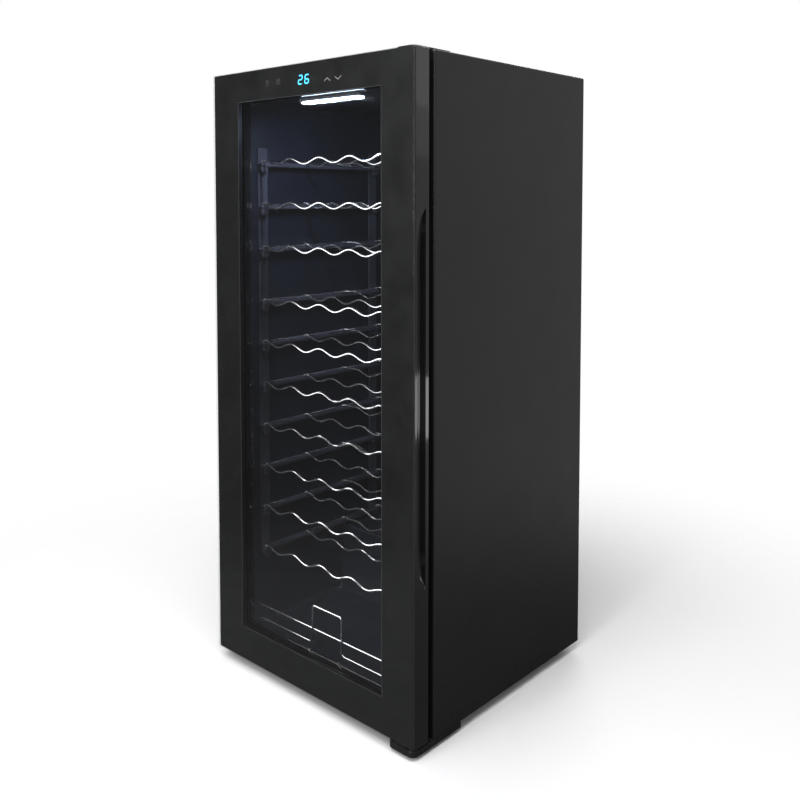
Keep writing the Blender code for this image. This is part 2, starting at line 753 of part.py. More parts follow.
def feet(material):
    """Screw feet: a broad pad with a threaded stem up to the base pan."""
    profile = [
        (0.0, 0.0),
        (FOOT_RADIUS - 0.001, 0.0),
        (FOOT_RADIUS, 0.0015),
        (FOOT_RADIUS, 0.0045),
        (2 * STEM_RADIUS, FOOT_PAD_TOP),
        (STEM_RADIUS, FOOT_PAD_TOP),
        (STEM_RADIUS, BOTTOM - GAP),
        (0.0, BOTTOM - GAP),
    ]
    for name, x, y in foot_spots():
        spot = (x, y, 0.0)
        add_object(name, turned_bmesh(profile, spot, 16), material, origin=spot, smooth_angle=40)


def rounded_corner(x, y, radius, start_degrees, steps):
    """Points round one convex corner, centred at (x, y)."""
    angles = [math.radians(start_degrees + 90 * k / steps) for k in range(steps + 1)]
    return [(x + radius * math.cos(a), y + radius * math.sin(a)) for a in angles]


def lower_hinge(bracket_material, pin_material):
    """Pressed bracket under the right front corner: flat top, a rim round it, a hole for the foot's stem."""
    top = BOTTOM - GAP
    left = HALF - BRACKET_WIDTH
    back = FRONT + BRACKET_LENGTH
    corner = BRACKET_CORNER
    outline = rounded_corner(HALF - corner, FRONT + corner, corner, -90, 4)
    outline += [(HALF, back), (left, back)]
    outline += rounded_corner(left + corner, FRONT + corner, corner, 180, 4)
    body = add_object("lower_hinge_bracket", prism_bmesh(outline, 2, BRACKET_BOTTOM, top), bracket_material)
    wall = BRACKET_WALL
    ceiling = top - BRACKET_TOP_WALL
    hollow = box_bmesh((left + wall, FRONT + corner, 0.0), (HALF - wall, back - wall, ceiling))
    play = 0.0010
    under_door = box_bmesh(
        (left - BEYOND, FRONT - BEYOND, top - play), (HALF + BEYOND, CABINET_FRONT - 0.006, top + BEYOND)
    )
    foot = (FOOT_X, FRONT + FOOT_FRONT, 0.0)
    stem_hole = cylinder_bmesh(foot, 2, STEM_RADIUS + 2 * GAP, 0.0, top + BEYOND, 12)
    cut(body, hollow, under_door, stem_hole)
    pin_top = DOOR_BOTTOM + BUSH_LENGTH - PIN_PLAY
    pin = cylinder_bmesh((HINGE_X, HINGE_Y, 0.0), 2, PIN_RADIUS, top - play + GAP, pin_top, 16)
    add_object("lower_hinge_pin", pin, pin_material, smooth_angle=40)


def upper_hinge(plate_material, pin_material):
    """Steel plate on the cabinet's top that reaches over the door, with the pin on its underside."""
    low = TOP + GAP
    high = low + PLATE_SHEET
    corner = PLATE_CORNER
    right = HALF - PLATE_INSET
    left = right - PLATE_WIDTH
    front = FRONT + PLATE_FRONT
    back = CABINET_FRONT + PLATE_REACH
    outline = rounded_corner(right - corner, front + corner, corner, -90, 4)
    outline += [(right, back), (left, back)]
    outline += rounded_corner(left + corner, front + corner, corner, 180, 4)
    add_object("upper_hinge_plate", prism_bmesh(outline, 2, low, high), plate_material)
    pin_low = DOOR_TOP - BUSH_LENGTH + PIN_PLAY
    pin = cylinder_bmesh((HINGE_X, HINGE_Y, 0.0), 2, PIN_RADIUS, pin_low, low - GAP, 16)
    add_object("upper_hinge_pin", pin, pin_material, smooth_angle=40)


def bush(name, low_z, high_z, material):
    """Plastic sleeve in the door, which turns round a hinge pin."""
    centre = (HINGE_X, HINGE_Y, 0.0)
    sleeve = cylinder_bmesh(centre, 2, BUSH_RADIUS, low_z, high_z, 16)
    body = add_object(name, sleeve, material, smooth_angle=40)
    bore = cylinder_bmesh(centre, 2, PIN_RADIUS + BORE_PLAY, low_z - BEYOND, high_z + BEYOND, 16)
    return cut(body, bore)


def door_frame(material):
    """Frame behind the outer pane, cut for the glazing, the two grips, the display and the hinge bushes."""
    front = FRONT + PANE + GAP
    body = ring(
        "door_frame",
        (-HALF, front, DOOR_BOTTOM),
        (HALF, DOOR_BACK, DOOR_TOP),
        (-CLEAR_HALF_WIDTH - GLAZING_REBATE, CLEAR_BOTTOM - GLAZING_REBATE),
        (CLEAR_HALF_WIDTH + GLAZING_REBATE, CLEAR_TOP + GLAZING_REBATE),
        material,
    )
    grips = [
        box_bmesh(
            (min(side * (HALF - GRIP_DEPTH), side * (HALF + BEYOND)), FRONT + GRIP_FRONT, GRIP_BOTTOM),
            (max(side * (HALF - GRIP_DEPTH), side * (HALF + BEYOND)), FRONT + GRIP_BACK, GRIP_TOP),
        )
        for side in (-1, 1)
    ]
    pocket = box_bmesh(
        (DISPLAY_LOW[0] - GAP, front - BEYOND, DISPLAY_LOW[1] - GAP),
        (DISPLAY_HIGH[0] + GAP, front + DISPLAY_DEPTH + GAP, DISPLAY_HIGH[1] + GAP),
    )
    centre = (HINGE_X, HINGE_Y, 0.0)
    depth = BUSH_LENGTH + BUSH_PLAY
    bores = [
        cylinder_bmesh(centre, 2, BUSH_RADIUS + GAP, start, end, 16)
        for start, end in ((0.0, DOOR_BOTTOM + depth), (DOOR_TOP - depth, DOOR_TOP + BEYOND))
    ]
    return cut(body, *grips, pocket, *bores)


def glazing(glass_material, spacer_material, bead_material):
    """Outer pane over the whole door, spacer bar, inner pane, and the bead that holds them in the frame."""
    block("door_outer_glass", (-HALF, FRONT, DOOR_BOTTOM), (HALF, FRONT + PANE, DOOR_TOP), glass_material)
    seat = GLAZING_REBATE - GAP
    low = (-CLEAR_HALF_WIDTH - seat, CLEAR_BOTTOM - seat)
    high = (CLEAR_HALF_WIDTH + seat, CLEAR_TOP + seat)
    hole_low = (-CLEAR_HALF_WIDTH, CLEAR_BOTTOM)
    hole_high = (CLEAR_HALF_WIDTH, CLEAR_TOP)
    hole = (hole_low, hole_high)
    start = FRONT + PANE + GAP
    end = start + GLAZING_CAVITY
    ring("glazing_spacer", (low[0], start, low[1]), (high[0], end, high[1]), *hole, spacer_material)
    inner = end + GAP
    block("door_inner_glass", (low[0], inner, low[1]), (high[0], inner + PANE, high[1]), glass_material)
    bead = inner + PANE + GAP
    ring("glazing_bead", (low[0], bead, low[1]), (high[0], DOOR_BACK, high[1]), *hole, bead_material)


def door_gasket(material):
    """Magnetic bulb seal on the door's back, a little short of the cabinet's flange when shut."""
    outer = HINGE_X
    width = GASKET_WIDTH
    low = (-outer, DOOR_BACK + GAP, BOTTOM + GASKET_BOTTOM)
    high = (outer, CABINET_FRONT - GASKET_SHORT, TOP - GASKET_TOP)
    hole = ((low[0] + width, low[2] + width), (high[0] - width, high[2] - width))
    seal = ring("door_gasket", low, high, *hole, material)
    bevel = seal.modifiers.new("soft_edges", "BEVEL")
    bevel.width = 0.003
    bevel.segments = 1
    bevel.limit_method = "ANGLE"


def grip(name, side, material):
    """Finger channel in the door's edge: a shallow tray open to the side."""
    outer = HALF - GAP
    inner = HALF - GRIP_DEPTH + GAP
    low = (inner, FRONT + GRIP_FRONT + GAP, GRIP_BOTTOM + GAP)
    high = (outer, FRONT + GRIP_BACK - GAP, GRIP_TOP - GAP)
    xs = sorted((side * low[0], side * high[0]))
    body = block(name, (xs[0], low[1], low[2]), (xs[1], high[1], high[2]), material)
    wall = GRIP_WALL
    hollow_xs = sorted((side * (inner + wall), side * (outer + BEYOND)))
    hollow = box_bmesh(
        (hollow_xs[0], low[1] + wall, low[2] + wall), (hollow_xs[1], high[1] - wall, high[2] - wall)
    )
    return cut(body, hollow)


def display(material):
    """Display and touch-key housing, in its pocket behind the outer pane."""
    front = FRONT + PANE + 2 * GAP
    back = FRONT + PANE + DISPLAY_DEPTH
    low = (DISPLAY_LOW[0], front, DISPLAY_LOW[1])
    return block("display_unit", low, (DISPLAY_HIGH[0], back, DISPLAY_HIGH[1]), material)


def build():
    clear_scene()
    black_steel = make_material("black_painted_steel", (0.012, 0.012, 0.013), 0.35, 0.1)
    zinc = make_material("zinc_plated_steel", (0.45, 0.46, 0.47), 0.4, 1.0)
    black_plastic = make_material("black_plastic", (0.02, 0.02, 0.022), 0.5)
    liner_plastic = make_material("liner_plastic", (0.018, 0.018, 0.03), 0.4)
    foam = make_material("polyurethane_foam", (0.75, 0.66, 0.42), 0.9)
    chrome = make_material("chrome_wire", (0.8, 0.8, 0.82), 0.12, 1.0)
    glass = make_material("clear_glass", (0.05, 0.05, 0.06), 0.05, 0.0, 0.35)
    rubber = make_material("black_rubber", (0.02, 0.02, 0.02), 0.7)
    aluminium = make_material("aluminium", (0.7, 0.71, 0.72), 0.35, 1.0)
    copper = make_material("copper_pipe", (0.72, 0.35, 0.2), 0.3, 1.0)
    lens = make_material("led_lens", (0.8, 0.88, 1.0), 0.4)

    cabinet_wrap(black_steel)
    base_pan(zinc)
    back_panel(black_steel)
    bay_divider(zinc)
    inner_liner(liner_plastic)
    insulation_foam(foam)
    shelf_support("shelf_support_left", -1, liner_plastic)
    shelf_support("shelf_support_right", 1, liner_plastic)
    shelves(chrome)
    bottle_guard(chrome)
    air_duct_cover(liner_plastic)
    evaporator(aluminium)
    fan_frame(black_plastic)
    fan_rotor(black_plastic)
    led_light(black_plastic, lens)
    condenser(black_steel, black_steel)
    compressor_group(black_steel, zinc, rubber, black_plastic)
    drip_tray(black_plastic)
    refrigerant_lines(copper, copper)
    power_box(black_plastic, black_plastic)
    feet(black_plastic)
    lower_hinge(black_steel, zinc)
    upper_hinge(black_steel, zinc)
    bush("lower_hinge_bush", DOOR_BOTTOM, DOOR_BOTTOM + BUSH_LENGTH, black_plastic)
    bush("upper_hinge_bush", DOOR_TOP - BUSH_LENGTH, DOOR_TOP, black_plastic)
    door_frame(black_plastic)
    glazing(glass, aluminium, black_plastic)
    door_gasket(rubber)
    grip("grip_left", -1, aluminium)
    grip("grip_right", 1, aluminium)
    display(black_plastic)


build()
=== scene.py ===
"""Looks of a free-standing wine cooler: black cabinet, glazed door, ten wave-wire shelves.

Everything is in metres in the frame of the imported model: the door faces -Y, +X is the right-hand side
of someone who faces the door, and the floor is at z = 0.
"""

import json
import math

import bmesh
import bpy
import numpy as np
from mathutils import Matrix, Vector

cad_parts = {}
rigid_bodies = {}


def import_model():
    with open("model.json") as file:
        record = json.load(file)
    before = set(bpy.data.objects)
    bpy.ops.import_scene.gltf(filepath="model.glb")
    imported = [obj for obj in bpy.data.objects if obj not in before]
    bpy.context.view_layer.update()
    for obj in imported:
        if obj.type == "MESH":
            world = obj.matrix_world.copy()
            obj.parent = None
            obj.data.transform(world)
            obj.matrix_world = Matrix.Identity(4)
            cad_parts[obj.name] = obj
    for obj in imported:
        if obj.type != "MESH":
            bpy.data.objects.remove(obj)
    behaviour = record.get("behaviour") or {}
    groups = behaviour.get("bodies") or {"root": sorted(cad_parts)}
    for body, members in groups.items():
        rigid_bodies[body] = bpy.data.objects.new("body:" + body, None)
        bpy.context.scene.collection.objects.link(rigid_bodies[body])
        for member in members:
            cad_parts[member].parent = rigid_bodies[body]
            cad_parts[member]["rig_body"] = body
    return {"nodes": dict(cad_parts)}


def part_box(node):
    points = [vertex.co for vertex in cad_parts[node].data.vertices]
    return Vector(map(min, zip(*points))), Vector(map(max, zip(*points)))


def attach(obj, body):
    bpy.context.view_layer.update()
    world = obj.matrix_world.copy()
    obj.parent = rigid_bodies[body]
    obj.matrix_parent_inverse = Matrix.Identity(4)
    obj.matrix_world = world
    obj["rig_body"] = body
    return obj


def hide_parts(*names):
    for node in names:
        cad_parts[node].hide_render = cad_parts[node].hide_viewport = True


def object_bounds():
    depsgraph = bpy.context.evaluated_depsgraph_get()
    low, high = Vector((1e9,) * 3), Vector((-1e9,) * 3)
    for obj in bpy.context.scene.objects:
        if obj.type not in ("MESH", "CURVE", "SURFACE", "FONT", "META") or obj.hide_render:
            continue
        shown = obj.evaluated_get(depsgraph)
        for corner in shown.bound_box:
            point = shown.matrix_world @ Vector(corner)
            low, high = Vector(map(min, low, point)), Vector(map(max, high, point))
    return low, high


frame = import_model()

cad_low, cad_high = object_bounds()
QUARTER = math.pi / 2
WHITE = (1, 1, 1, 1)
SHELVES = range(1, 11)
WIRE = 0.00225
WAVE_HEIGHT = 0.012
WAVE_PITCH = 0.090
RAIL_DROP = 0.0035
LEDGE_ABOVE_TROUGH = WAVE_HEIGHT - RAIL_DROP - WIRE - 0.0003
GUARD_LOOP = (-0.068, 0.021)
WINDOW = (0.2095, 0.092, 1.2275)
REBATE = 0.010
PIPE_BEND = 0.014
COIL_RADIUS = 0.0025
finishes = {}


# ---------------------------------------------------------------- camera, light and floor


def placed(name, data):
    """An object in the scene, at the origin."""
    obj = bpy.data.objects.new(name, data)
    bpy.context.scene.collection.objects.link(obj)
    return obj


def place_camera():
    """Looks at the right front corner from a little above the middle of the cabinet."""
    camera = placed("view_camera", bpy.data.cameras.new("view_camera"))
    camera.location = (1.325, -1.455, 1.015)
    camera.rotation_euler = (math.radians(87), 0, math.radians(42.29))
    camera.data.sensor_width = 36
    camera.data.lens = 40.1
    camera.data.shift_y = -0.188
    bpy.context.scene.camera = camera


def soft_light(name, place, target, size, power, colour=(1, 1, 1), only_on=()):
    """A rectangular lamp at place, facing target; size is (width, height). One that is for some pieces only
    passes through all the others."""
    lamp = bpy.data.lights.new(name, "AREA")
    lamp.shape = "RECTANGLE"
    lamp.size, lamp.size_y = size
    lamp.energy = power
    lamp.color = colour
    holder = placed(name, lamp)
    holder.location = place
    holder.rotation_mode = "QUATERNION"
    holder.rotation_quaternion = (Vector(target) - Vector(place)).to_track_quat("-Z", "Y")
    holder.visible_camera = False
    if only_on:
        linking = holder.light_linking
        linking.receiver_collection = collection_of(f"{name}_receivers", only_on)
        linking.blocker_collection = collection_of(f"{name}_blockers", ["inlet_blades"])


def collection_of(name, members):
    made = bpy.data.collections.new(name)
    for member in members:
        made.objects.link(bpy.data.objects[member])
    return made


def studio_world():
    """White to the eye; for light and gloss a grey studio, brighter behind the right-hand side and
    overhead."""
    world = bpy.data.worlds.new("studio")
    world.use_nodes = True
    bpy.context.scene.world = world
    made = Wiring(world.node_tree)
    direction = made.node("ShaderNodeTexCoord").outputs["Generated"]

    def share(axis, dark, light):
        """From dark to light as the direction turns along an axis."""
        dot = made.node("ShaderNodeVectorMath", _0=direction, _1=axis)
        dot.operation = "DOT_PRODUCT"
        return made.spread(dot.outputs["Value"], dark, light, -0.9, 0.9, "SMOOTHSTEP")

    behind_right, up = (0.67, 0.74, 0), (0, 0, 1)
    product = made.node("ShaderNodeMath", _0=share(behind_right, 0.07, 0.42), _1=share(up, 0.8, 1.2))
    product.operation = "MULTIPLY"
    studio = made.node("ShaderNodeBackground", Color=WHITE, Strength=product.outputs[0])
    white = made.node("ShaderNodeBackground", Color=WHITE)
    to_camera = made.node("ShaderNodeLightPath").outputs["Is Camera Ray"]
    made.surface("World Output", to_camera, studio.outputs[0], white.outputs[0])


def studio_floor():
    """A pale round floor that fades into the white backdrop away from the cooler."""
    radius, corners, sink = 6.0, 96, 0.0002
    turn = full_turn(corners)
    rim = np.stack((radius * np.cos(turn), radius * np.sin(turn), np.full(corners, -sink)), -1)
    mesh = bpy.data.meshes.new("studio_floor")
    mesh.from_pydata(rim.tolist(), [], [list(range(corners))])
    finish = Finish("studio_floor", roughness=0.9).set("Specular IOR Level", 0.1)
    to_camera = finish.node("ShaderNodeLightPath").outputs["Is Camera Ray"]
    finish.feed("Base Color", finish.blended(to_camera, (0.10, 0.10, 0.102), (0.93, 0.93, 0.94)))
    distance = finish.node("ShaderNodeVectorMath", _0=finish.place)
    distance.operation = "LENGTH"
    fade = finish.spread(distance.outputs["Value"], 0, 1, 0.5, 1.6, "SMOOTHSTEP")
    clear = finish.node("ShaderNodeBsdfTransparent").outputs[0]
    finish.surface("Material Output", fade, finish.shader.outputs[0], clear)
    mesh.materials.append(finish.material)
    placed("studio_floor", mesh)


# ---------------------------------------------------------------- surfaces worked out on grids


def full_turn(steps):
    """Angles evenly round a circle, the last one short of the first."""
    return np.linspace(0, 2 * math.pi, steps + 1)[:-1]


def cells(rows, columns, wrap_rows=False, wrap_columns=False):
    """Corner numbers of the four-sided cells between the points of a grid."""
    i = np.arange(rows if wrap_rows else rows - 1)[:, None]
    j = np.arange(columns if wrap_columns else columns - 1)[None, :]
    i2, j2 = (i + 1) % rows, (j + 1) % columns
    corners = (i * columns + j, i * columns + j2, i2 * columns + j2, i2 * columns + j)
    return np.stack(np.broadcast_arrays(*corners), -1).reshape(-1, 4).tolist()


def loft(rings, closed=False):
    """Skin over a stack of closed outlines, rings[i, j]; flat caps shut its two ends unless it closes on
    itself."""
    rows, columns = rings.shape[:2]
    faces = cells(rows, columns, closed, True)
    if not closed:
        faces.append(list(range(columns)))
        faces.append(list(range((rows - 1) * columns, rows * columns)))
    return rings.reshape(-1, 3), faces


def laid_out(planar, axes, heights):
    """Outlines planar[i, j] = (u, v) set into space: u and v along the first two axes, and a height for each
    outline along the third."""
    rings = np.empty(planar.shape[:2] + (3,))
    rings[..., axes[0]] = planar[..., 0]
    rings[..., axes[1]] = planar[..., 1]
    rings[..., axes[2]] = np.asarray(heights, float)[:, None]
    return rings


def rounded_outline(half_u, half_v, radius, corner_steps=6, side_steps=1):
    """Rectangles with arc corners, as (n, m, 2): each corner is its centre plus radius times (cos a, sin a)
    while a turns by a quarter, and the straight stretches are divided evenly."""
    sizes = [np.atleast_1d(np.asarray(value, float)) for value in (half_u, half_v, radius)]
    half_u, half_v, radius = np.broadcast_arrays(*sizes)
    angles = np.linspace(0, QUARTER, corner_steps + 1)[None, :] + np.arange(4)[:, None] * QUARTER
    centre_u = np.array([1, -1, -1, 1]) * (half_u - radius)[:, None]
    centre_v = np.array([1, 1, -1, -1]) * (half_v - radius)[:, None]
    swing = radius[:, None, None]
    arc_u = centre_u[:, :, None] + swing * np.cos(angles)
    arc_v = centre_v[:, :, None] + swing * np.sin(angles)
    arcs = np.stack((arc_u, arc_v), -1)
    start = np.roll(arcs[:, :, :1], -1, axis=1)
    share = (np.arange(1, side_steps) / side_steps)[None, None, :, None]
    sides = arcs[:, :, -1:] + (start - arcs[:, :, -1:]) * share
    return np.concatenate((arcs, sides), axis=2).reshape(len(radius), -1, 2)


def standing_rings(rows, corner_steps=6, side_steps=1):
    """Rounded rectangles square to Y, one for each row (half width, low z, high z, corner radius, y)."""
    half, low, high, radius, y = np.asarray(rows, float).T
    rings = laid_out(rounded_outline(half, (high - low) / 2, radius, corner_steps, side_steps), (0, 2, 1), y)
    rings[..., 2] += ((high + low) / 2)[:, None]
    return rings


def rounded_block(low, high, edge, corner=0.0, axis=2):
    """Box with softened edges: outlines stacked along one axis draw in by edge (1 - cos v) near the ends
    while they climb by edge sin v, v running over a quarter turn."""
    low, high = np.array(low, float), np.array(high, float)
    order = [(axis + 1) % 3, (axis + 2) % 3, axis]
    half = ((high - low) / 2)[order]
    turn = np.linspace(0, QUARTER, 4)
    inset = edge * (1 - np.cos(turn))
    climb = half[2] - edge + edge * np.sin(turn)
    inset = np.concatenate((inset[::-1], inset))
    climb = np.concatenate((-climb[::-1], climb))
    outline = rounded_outline(half[0] - inset, half[1] - inset, max(corner, edge * 1.05) - inset, 5)
    return loft(laid_out(outline, order, climb) + (high + low) / 2)


def unit(vectors):
    return vectors / np.linalg.norm(vectors, axis=-1, keepdims=True)


def tube(path, radius, sides=12, across=(0, 1, 0)):
    """Round section carried along a path: centre + radius (cos a N + sin a B), where N is square to the
    path's direction and to across, and B is square to both. Its ends are chamfered."""
    path = np.asarray(path, float)
    chamfer = 0.35 * radius
    ends = unit(np.array([path[1] - path[0], path[-1] - path[-2]])) * chamfer
    path = np.concatenate((path[:1], path[:1] + ends[0], path[1:-1], path[-1:] - ends[1], path[-1:]))
    along = unit(np.gradient(path, axis=0))
    sizes = np.full(len(path), radius)
    sizes[[0, -1]] = radius - chamfer
    normal = unit(np.cross(along, np.asarray(across, float)))
    binormal = np.cross(along, normal)
    turn = full_turn(sides)[None, :, None]
    ring = np.cos(turn) * normal[:, None] + np.sin(turn) * binormal[:, None]
    return loft(path[:, None] + sizes[:, None, None] * ring)


def bent_path(points, bend, steps=8):
    """Straight stretches joined by bends (1 - t)^2 A + 2 t (1 - t) C + t^2 B, with A and B a bend's length
    before and after each corner C."""
    points = np.asarray(points, float)
    corner = points[1:-1]
    before, after = points[:-2] - corner, points[2:] - corner
    length_before = np.linalg.norm(before, axis=1, keepdims=True)
    length_after = np.linalg.norm(after, axis=1, keepdims=True)
    reach = np.minimum(bend, 0.49 * np.minimum(length_before, length_after))
    start = (corner + before / length_before * reach)[:, None]
    end = (corner + after / length_after * reach)[:, None]
    t = np.linspace(0, 1, steps + 1)[None, :, None]
    curve = (1 - t) ** 2 * start + 2 * t * (1 - t) * corner[:, None] + t**2 * end
    return np.concatenate((points[:1], curve.reshape(-1, 3), points[-1:]))


def turned(profile, centre, axis=2, steps=36, ribs=0, rib_depth=0.0):
    """Profile rows (radius, height) turned round an axis: centre + r (cos a U + sin a V) + h W.
    Ribs make the radius swell and shrink by rib_depth as cos(ribs a)."""
    radius, height = np.asarray(profile, float).T
    turn = full_turn(steps)
    swell = radius[:, None] * (1 + rib_depth * np.cos(ribs * turn))
    planar = np.stack((swell * np.cos(turn), swell * np.sin(turn)), -1)
    return loft(laid_out(planar, ((axis + 1) % 3, (axis + 2) % 3, axis), height) + np.asarray(centre, float))


def arc(centre, radius, start, stop, steps=6):
    """Points (u, v) along part of a circle; angles in degrees."""
    turn = np.radians(np.linspace(start, stop, steps + 1))
    return np.stack((centre[0] + radius * np.cos(turn), centre[1] + radius * np.sin(turn)), -1)


def ribbon_plate(outline, depths):
    """Flat plate standing square to Y: an outline of (x, z) points between two depths."""
    outline = np.asarray(outline, float)
    return loft(laid_out(np.stack((outline, outline)), (0, 2, 1), depths))


# ---------------------------------------------------------------- making pieces


def edit_mesh(mesh, *steps, inwards=None):
    """Runs steps on the mesh, each of them a function of its editable form, and turns its faces outwards, or
    those of an open tub towards a point inside it."""
    bm = bmesh.new()
    bm.from_mesh(mesh)
    for step in steps:
        step(bm)
    bmesh.ops.recalc_face_normals(bm, faces=bm.faces)
    if inwards:
        largest = max(bm.faces, key=lambda face: face.calc_area())
        if (inwards - largest.calc_center_median()).dot(largest.normal) < 0:
            bmesh.ops.reverse_faces(bm, faces=bm.faces)
    bm.to_mesh(mesh)
    bm.free()


def dressed(obj, material, body, replaces, angle, bevel=None):
    """Gives a piece its finish and its body, and weights the shading by face size, so that wide flats stay
    flat up to their rounded edges."""
    mesh = obj.data
    mesh.materials.clear()
    mesh.materials.append(material)
    mesh.shade_smooth()
    mesh.set_sharp_from_angle(angle=math.radians(angle))
    if bevel:
        softened_edges = obj.modifiers.new("softened_edges", "BEVEL")
        softened_edges.width = bevel
        softened_edges.segments = 2
        softened_edges.limit_method = "ANGLE"
        softened_edges.angle_limit = math.radians(40)
    weighted = obj.modifiers.new("true_flats", "WEIGHTED_NORMAL")
    weighted.keep_sharp = True
    weighted.weight = 90
    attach(obj, body)
    if replaces:
        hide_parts(*replaces)
    return obj


def piece(name, shells, finish, body="cabinet", replaces=(), slot="", angle=35):
    """Joins shells (points, faces) into one mesh object, merges shared points and turns its faces outwards.
    Its slot argument is not used."""
    points, faces, start = [], [], 0
    for shell_points, shell_faces in shells:
        points.append(np.asarray(shell_points, float))
        faces += [[corner + start for corner in face] for face in shell_faces]
        start += len(shell_points)
    mesh = bpy.data.meshes.new(name)
    mesh.from_pydata(np.concatenate(points), [], faces)
    edit_mesh(
        mesh,
        lambda bm: bmesh.ops.remove_doubles(bm, verts=bm.verts, dist=2e-6),
        lambda bm: bmesh.ops.dissolve_degenerate(bm, edges=bm.edges, dist=1e-6),
    )
    slot = finish if slot == "" else slot
    replaces = [replaces] if isinstance(replaces, str) else replaces
    return dressed(placed(name, mesh), finishes[finish], body, replaces, angle)


def softened(node, slot, edge):
    """A merged copy of a pressed or moulded part, with its edges rounded over."""
    source = frame["nodes"][node]
    mesh = source.data.copy()
    mesh.name = f"{node}_softened"
    edit_mesh(
        mesh,
        lambda bm: bmesh.ops.remove_doubles(bm, verts=bm.verts, dist=1e-5),
        lambda bm: bmesh.ops.dissolve_limit(bm, angle_limit=math.radians(2), verts=bm.verts, edges=bm.edges),
    )
    dressed(placed(mesh.name, mesh), finishes[slot], source["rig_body"], [node], 50, bevel=edge)


def middle_of(node):
    """A node's middle in plan, with its height above the floor left out."""
    low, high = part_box(node)
    return (low.x + high.x) / 2, (low.y + high.y) / 2, 0


# ---------------------------------------------------------------- finishes


class Wiring:
    """The nodes of a material or of the world."""

    def __init__(self, tree):
        self.nodes, self.links = tree.nodes, tree.links

    def give(self, target, value):
        if isinstance(value, bpy.types.NodeSocket):
            self.links.new(value, target)
        else:
            target.default_value = value

    def node(self, kind, **inputs):
        """A node with its inputs given by name, or by number after an underscore."""
        made = self.nodes.new(kind)
        for key, value in inputs.items():
            self.give(made.inputs[int(key[1:]) if key[0] == "_" else key.replace("_", " ")], value)
        return made

    def spread(self, value, low, high, start=0.3, stop=0.7, curve="LINEAR"):
        """A number from low to high as the value runs from start to stop."""
        ends = {"From_Min": start, "From_Max": stop, "To_Min": low, "To_Max": high}
        made = self.node("ShaderNodeMapRange", Value=value, **ends)
        made.interpolation_type = curve
        return made.outputs["Result"]

    def surface(self, output, factor, first, second):
        """The whole look, as a mix of two shaders."""
        mix = self.node("ShaderNodeMixShader", _0=factor, _1=first, _2=second)
        self.links.new(mix.outputs[0], self.nodes[output].inputs["Surface"])


class Finish(Wiring):
    """One procedural finish, laid out in object coordinates; sizes are in metres."""

    def __init__(self, name, roughness=0.4, metallic=0.0):
        self.material = bpy.data.materials.new(name)
        self.material.use_nodes = True
        super().__init__(self.material.node_tree)
        self.shader = self.nodes["Principled BSDF"]
        self.set("Roughness", roughness).set("Metallic", metallic)
        self.place = self.node("ShaderNodeTexCoord").outputs["Object"]

    def set(self, socket, value):
        self.shader.inputs[socket].default_value = value
        return self

    def feed(self, socket, value):
        self.links.new(value, self.shader.inputs[socket])
        return self

    def noise(self, size, detail=3.0, stretch=None):
        """Cloudy noise whose lumps measure about size; a stretch below 1 draws them out along an axis."""
        place = self.place
        if stretch:
            place = self.node("ShaderNodeMapping", Vector=place, Scale=stretch).outputs["Vector"]
        made = self.node("ShaderNodeTexNoise", Vector=place, Scale=0.6 / size, Detail=detail, Roughness=0.55)
        return made.outputs["Fac"]

    def crystals(self, size, output="Color"):
        return self.node("ShaderNodeTexVoronoi", Vector=self.place, Scale=1 / size).outputs[output]

    def colours(self, value, dark, light, start=0.3, stop=0.7):
        """Colour from dark to light as the value runs from start to stop."""
        made = self.node("ShaderNodeValToRGB", Fac=value)
        for element, place, colour in zip(made.color_ramp.elements, (start, stop), (dark, light)):
            element.position = place
            element.color = (*colour, 1.0)
        return made.outputs["Color"]

    def blended(self, factor, first, second):
        """A mix of two colours, each of them plain or worked out."""
        made = self.node("ShaderNodeMix")
        made.data_type = "RGBA"
        for number, value in ((0, factor), (6, first), (7, second)):
            self.give(made.inputs[number], (*value, 1.0) if isinstance(value, tuple) else value)
        return made.outputs[2]

    def bump(self, height, depth):
        made = self.node("ShaderNodeBump", Height=height, Distance=depth, Strength=1.0)
        return self.feed("Normal", made.outputs["Normal"])


def grained(name, dark, light, roughness, grain, depth, patch):
    """Moulded or painted skin: broad patches of tone and gloss, and a fine grain that stands up by depth.
    Grain, depth and patch are in millimetres."""
    grain, depth, patch = grain / 1000, depth / 1000, patch / 1000
    finish = Finish(name).set("IOR", 1.5)
    finish.feed("Base Color", finish.colours(finish.noise(patch, 4.0), dark, light))
    finish.feed("Roughness", finish.spread(finish.noise(patch * 0.35, 5.0), *roughness, 0.35, 0.65))
    return finish.bump(finish.noise(grain, 2.0), depth)


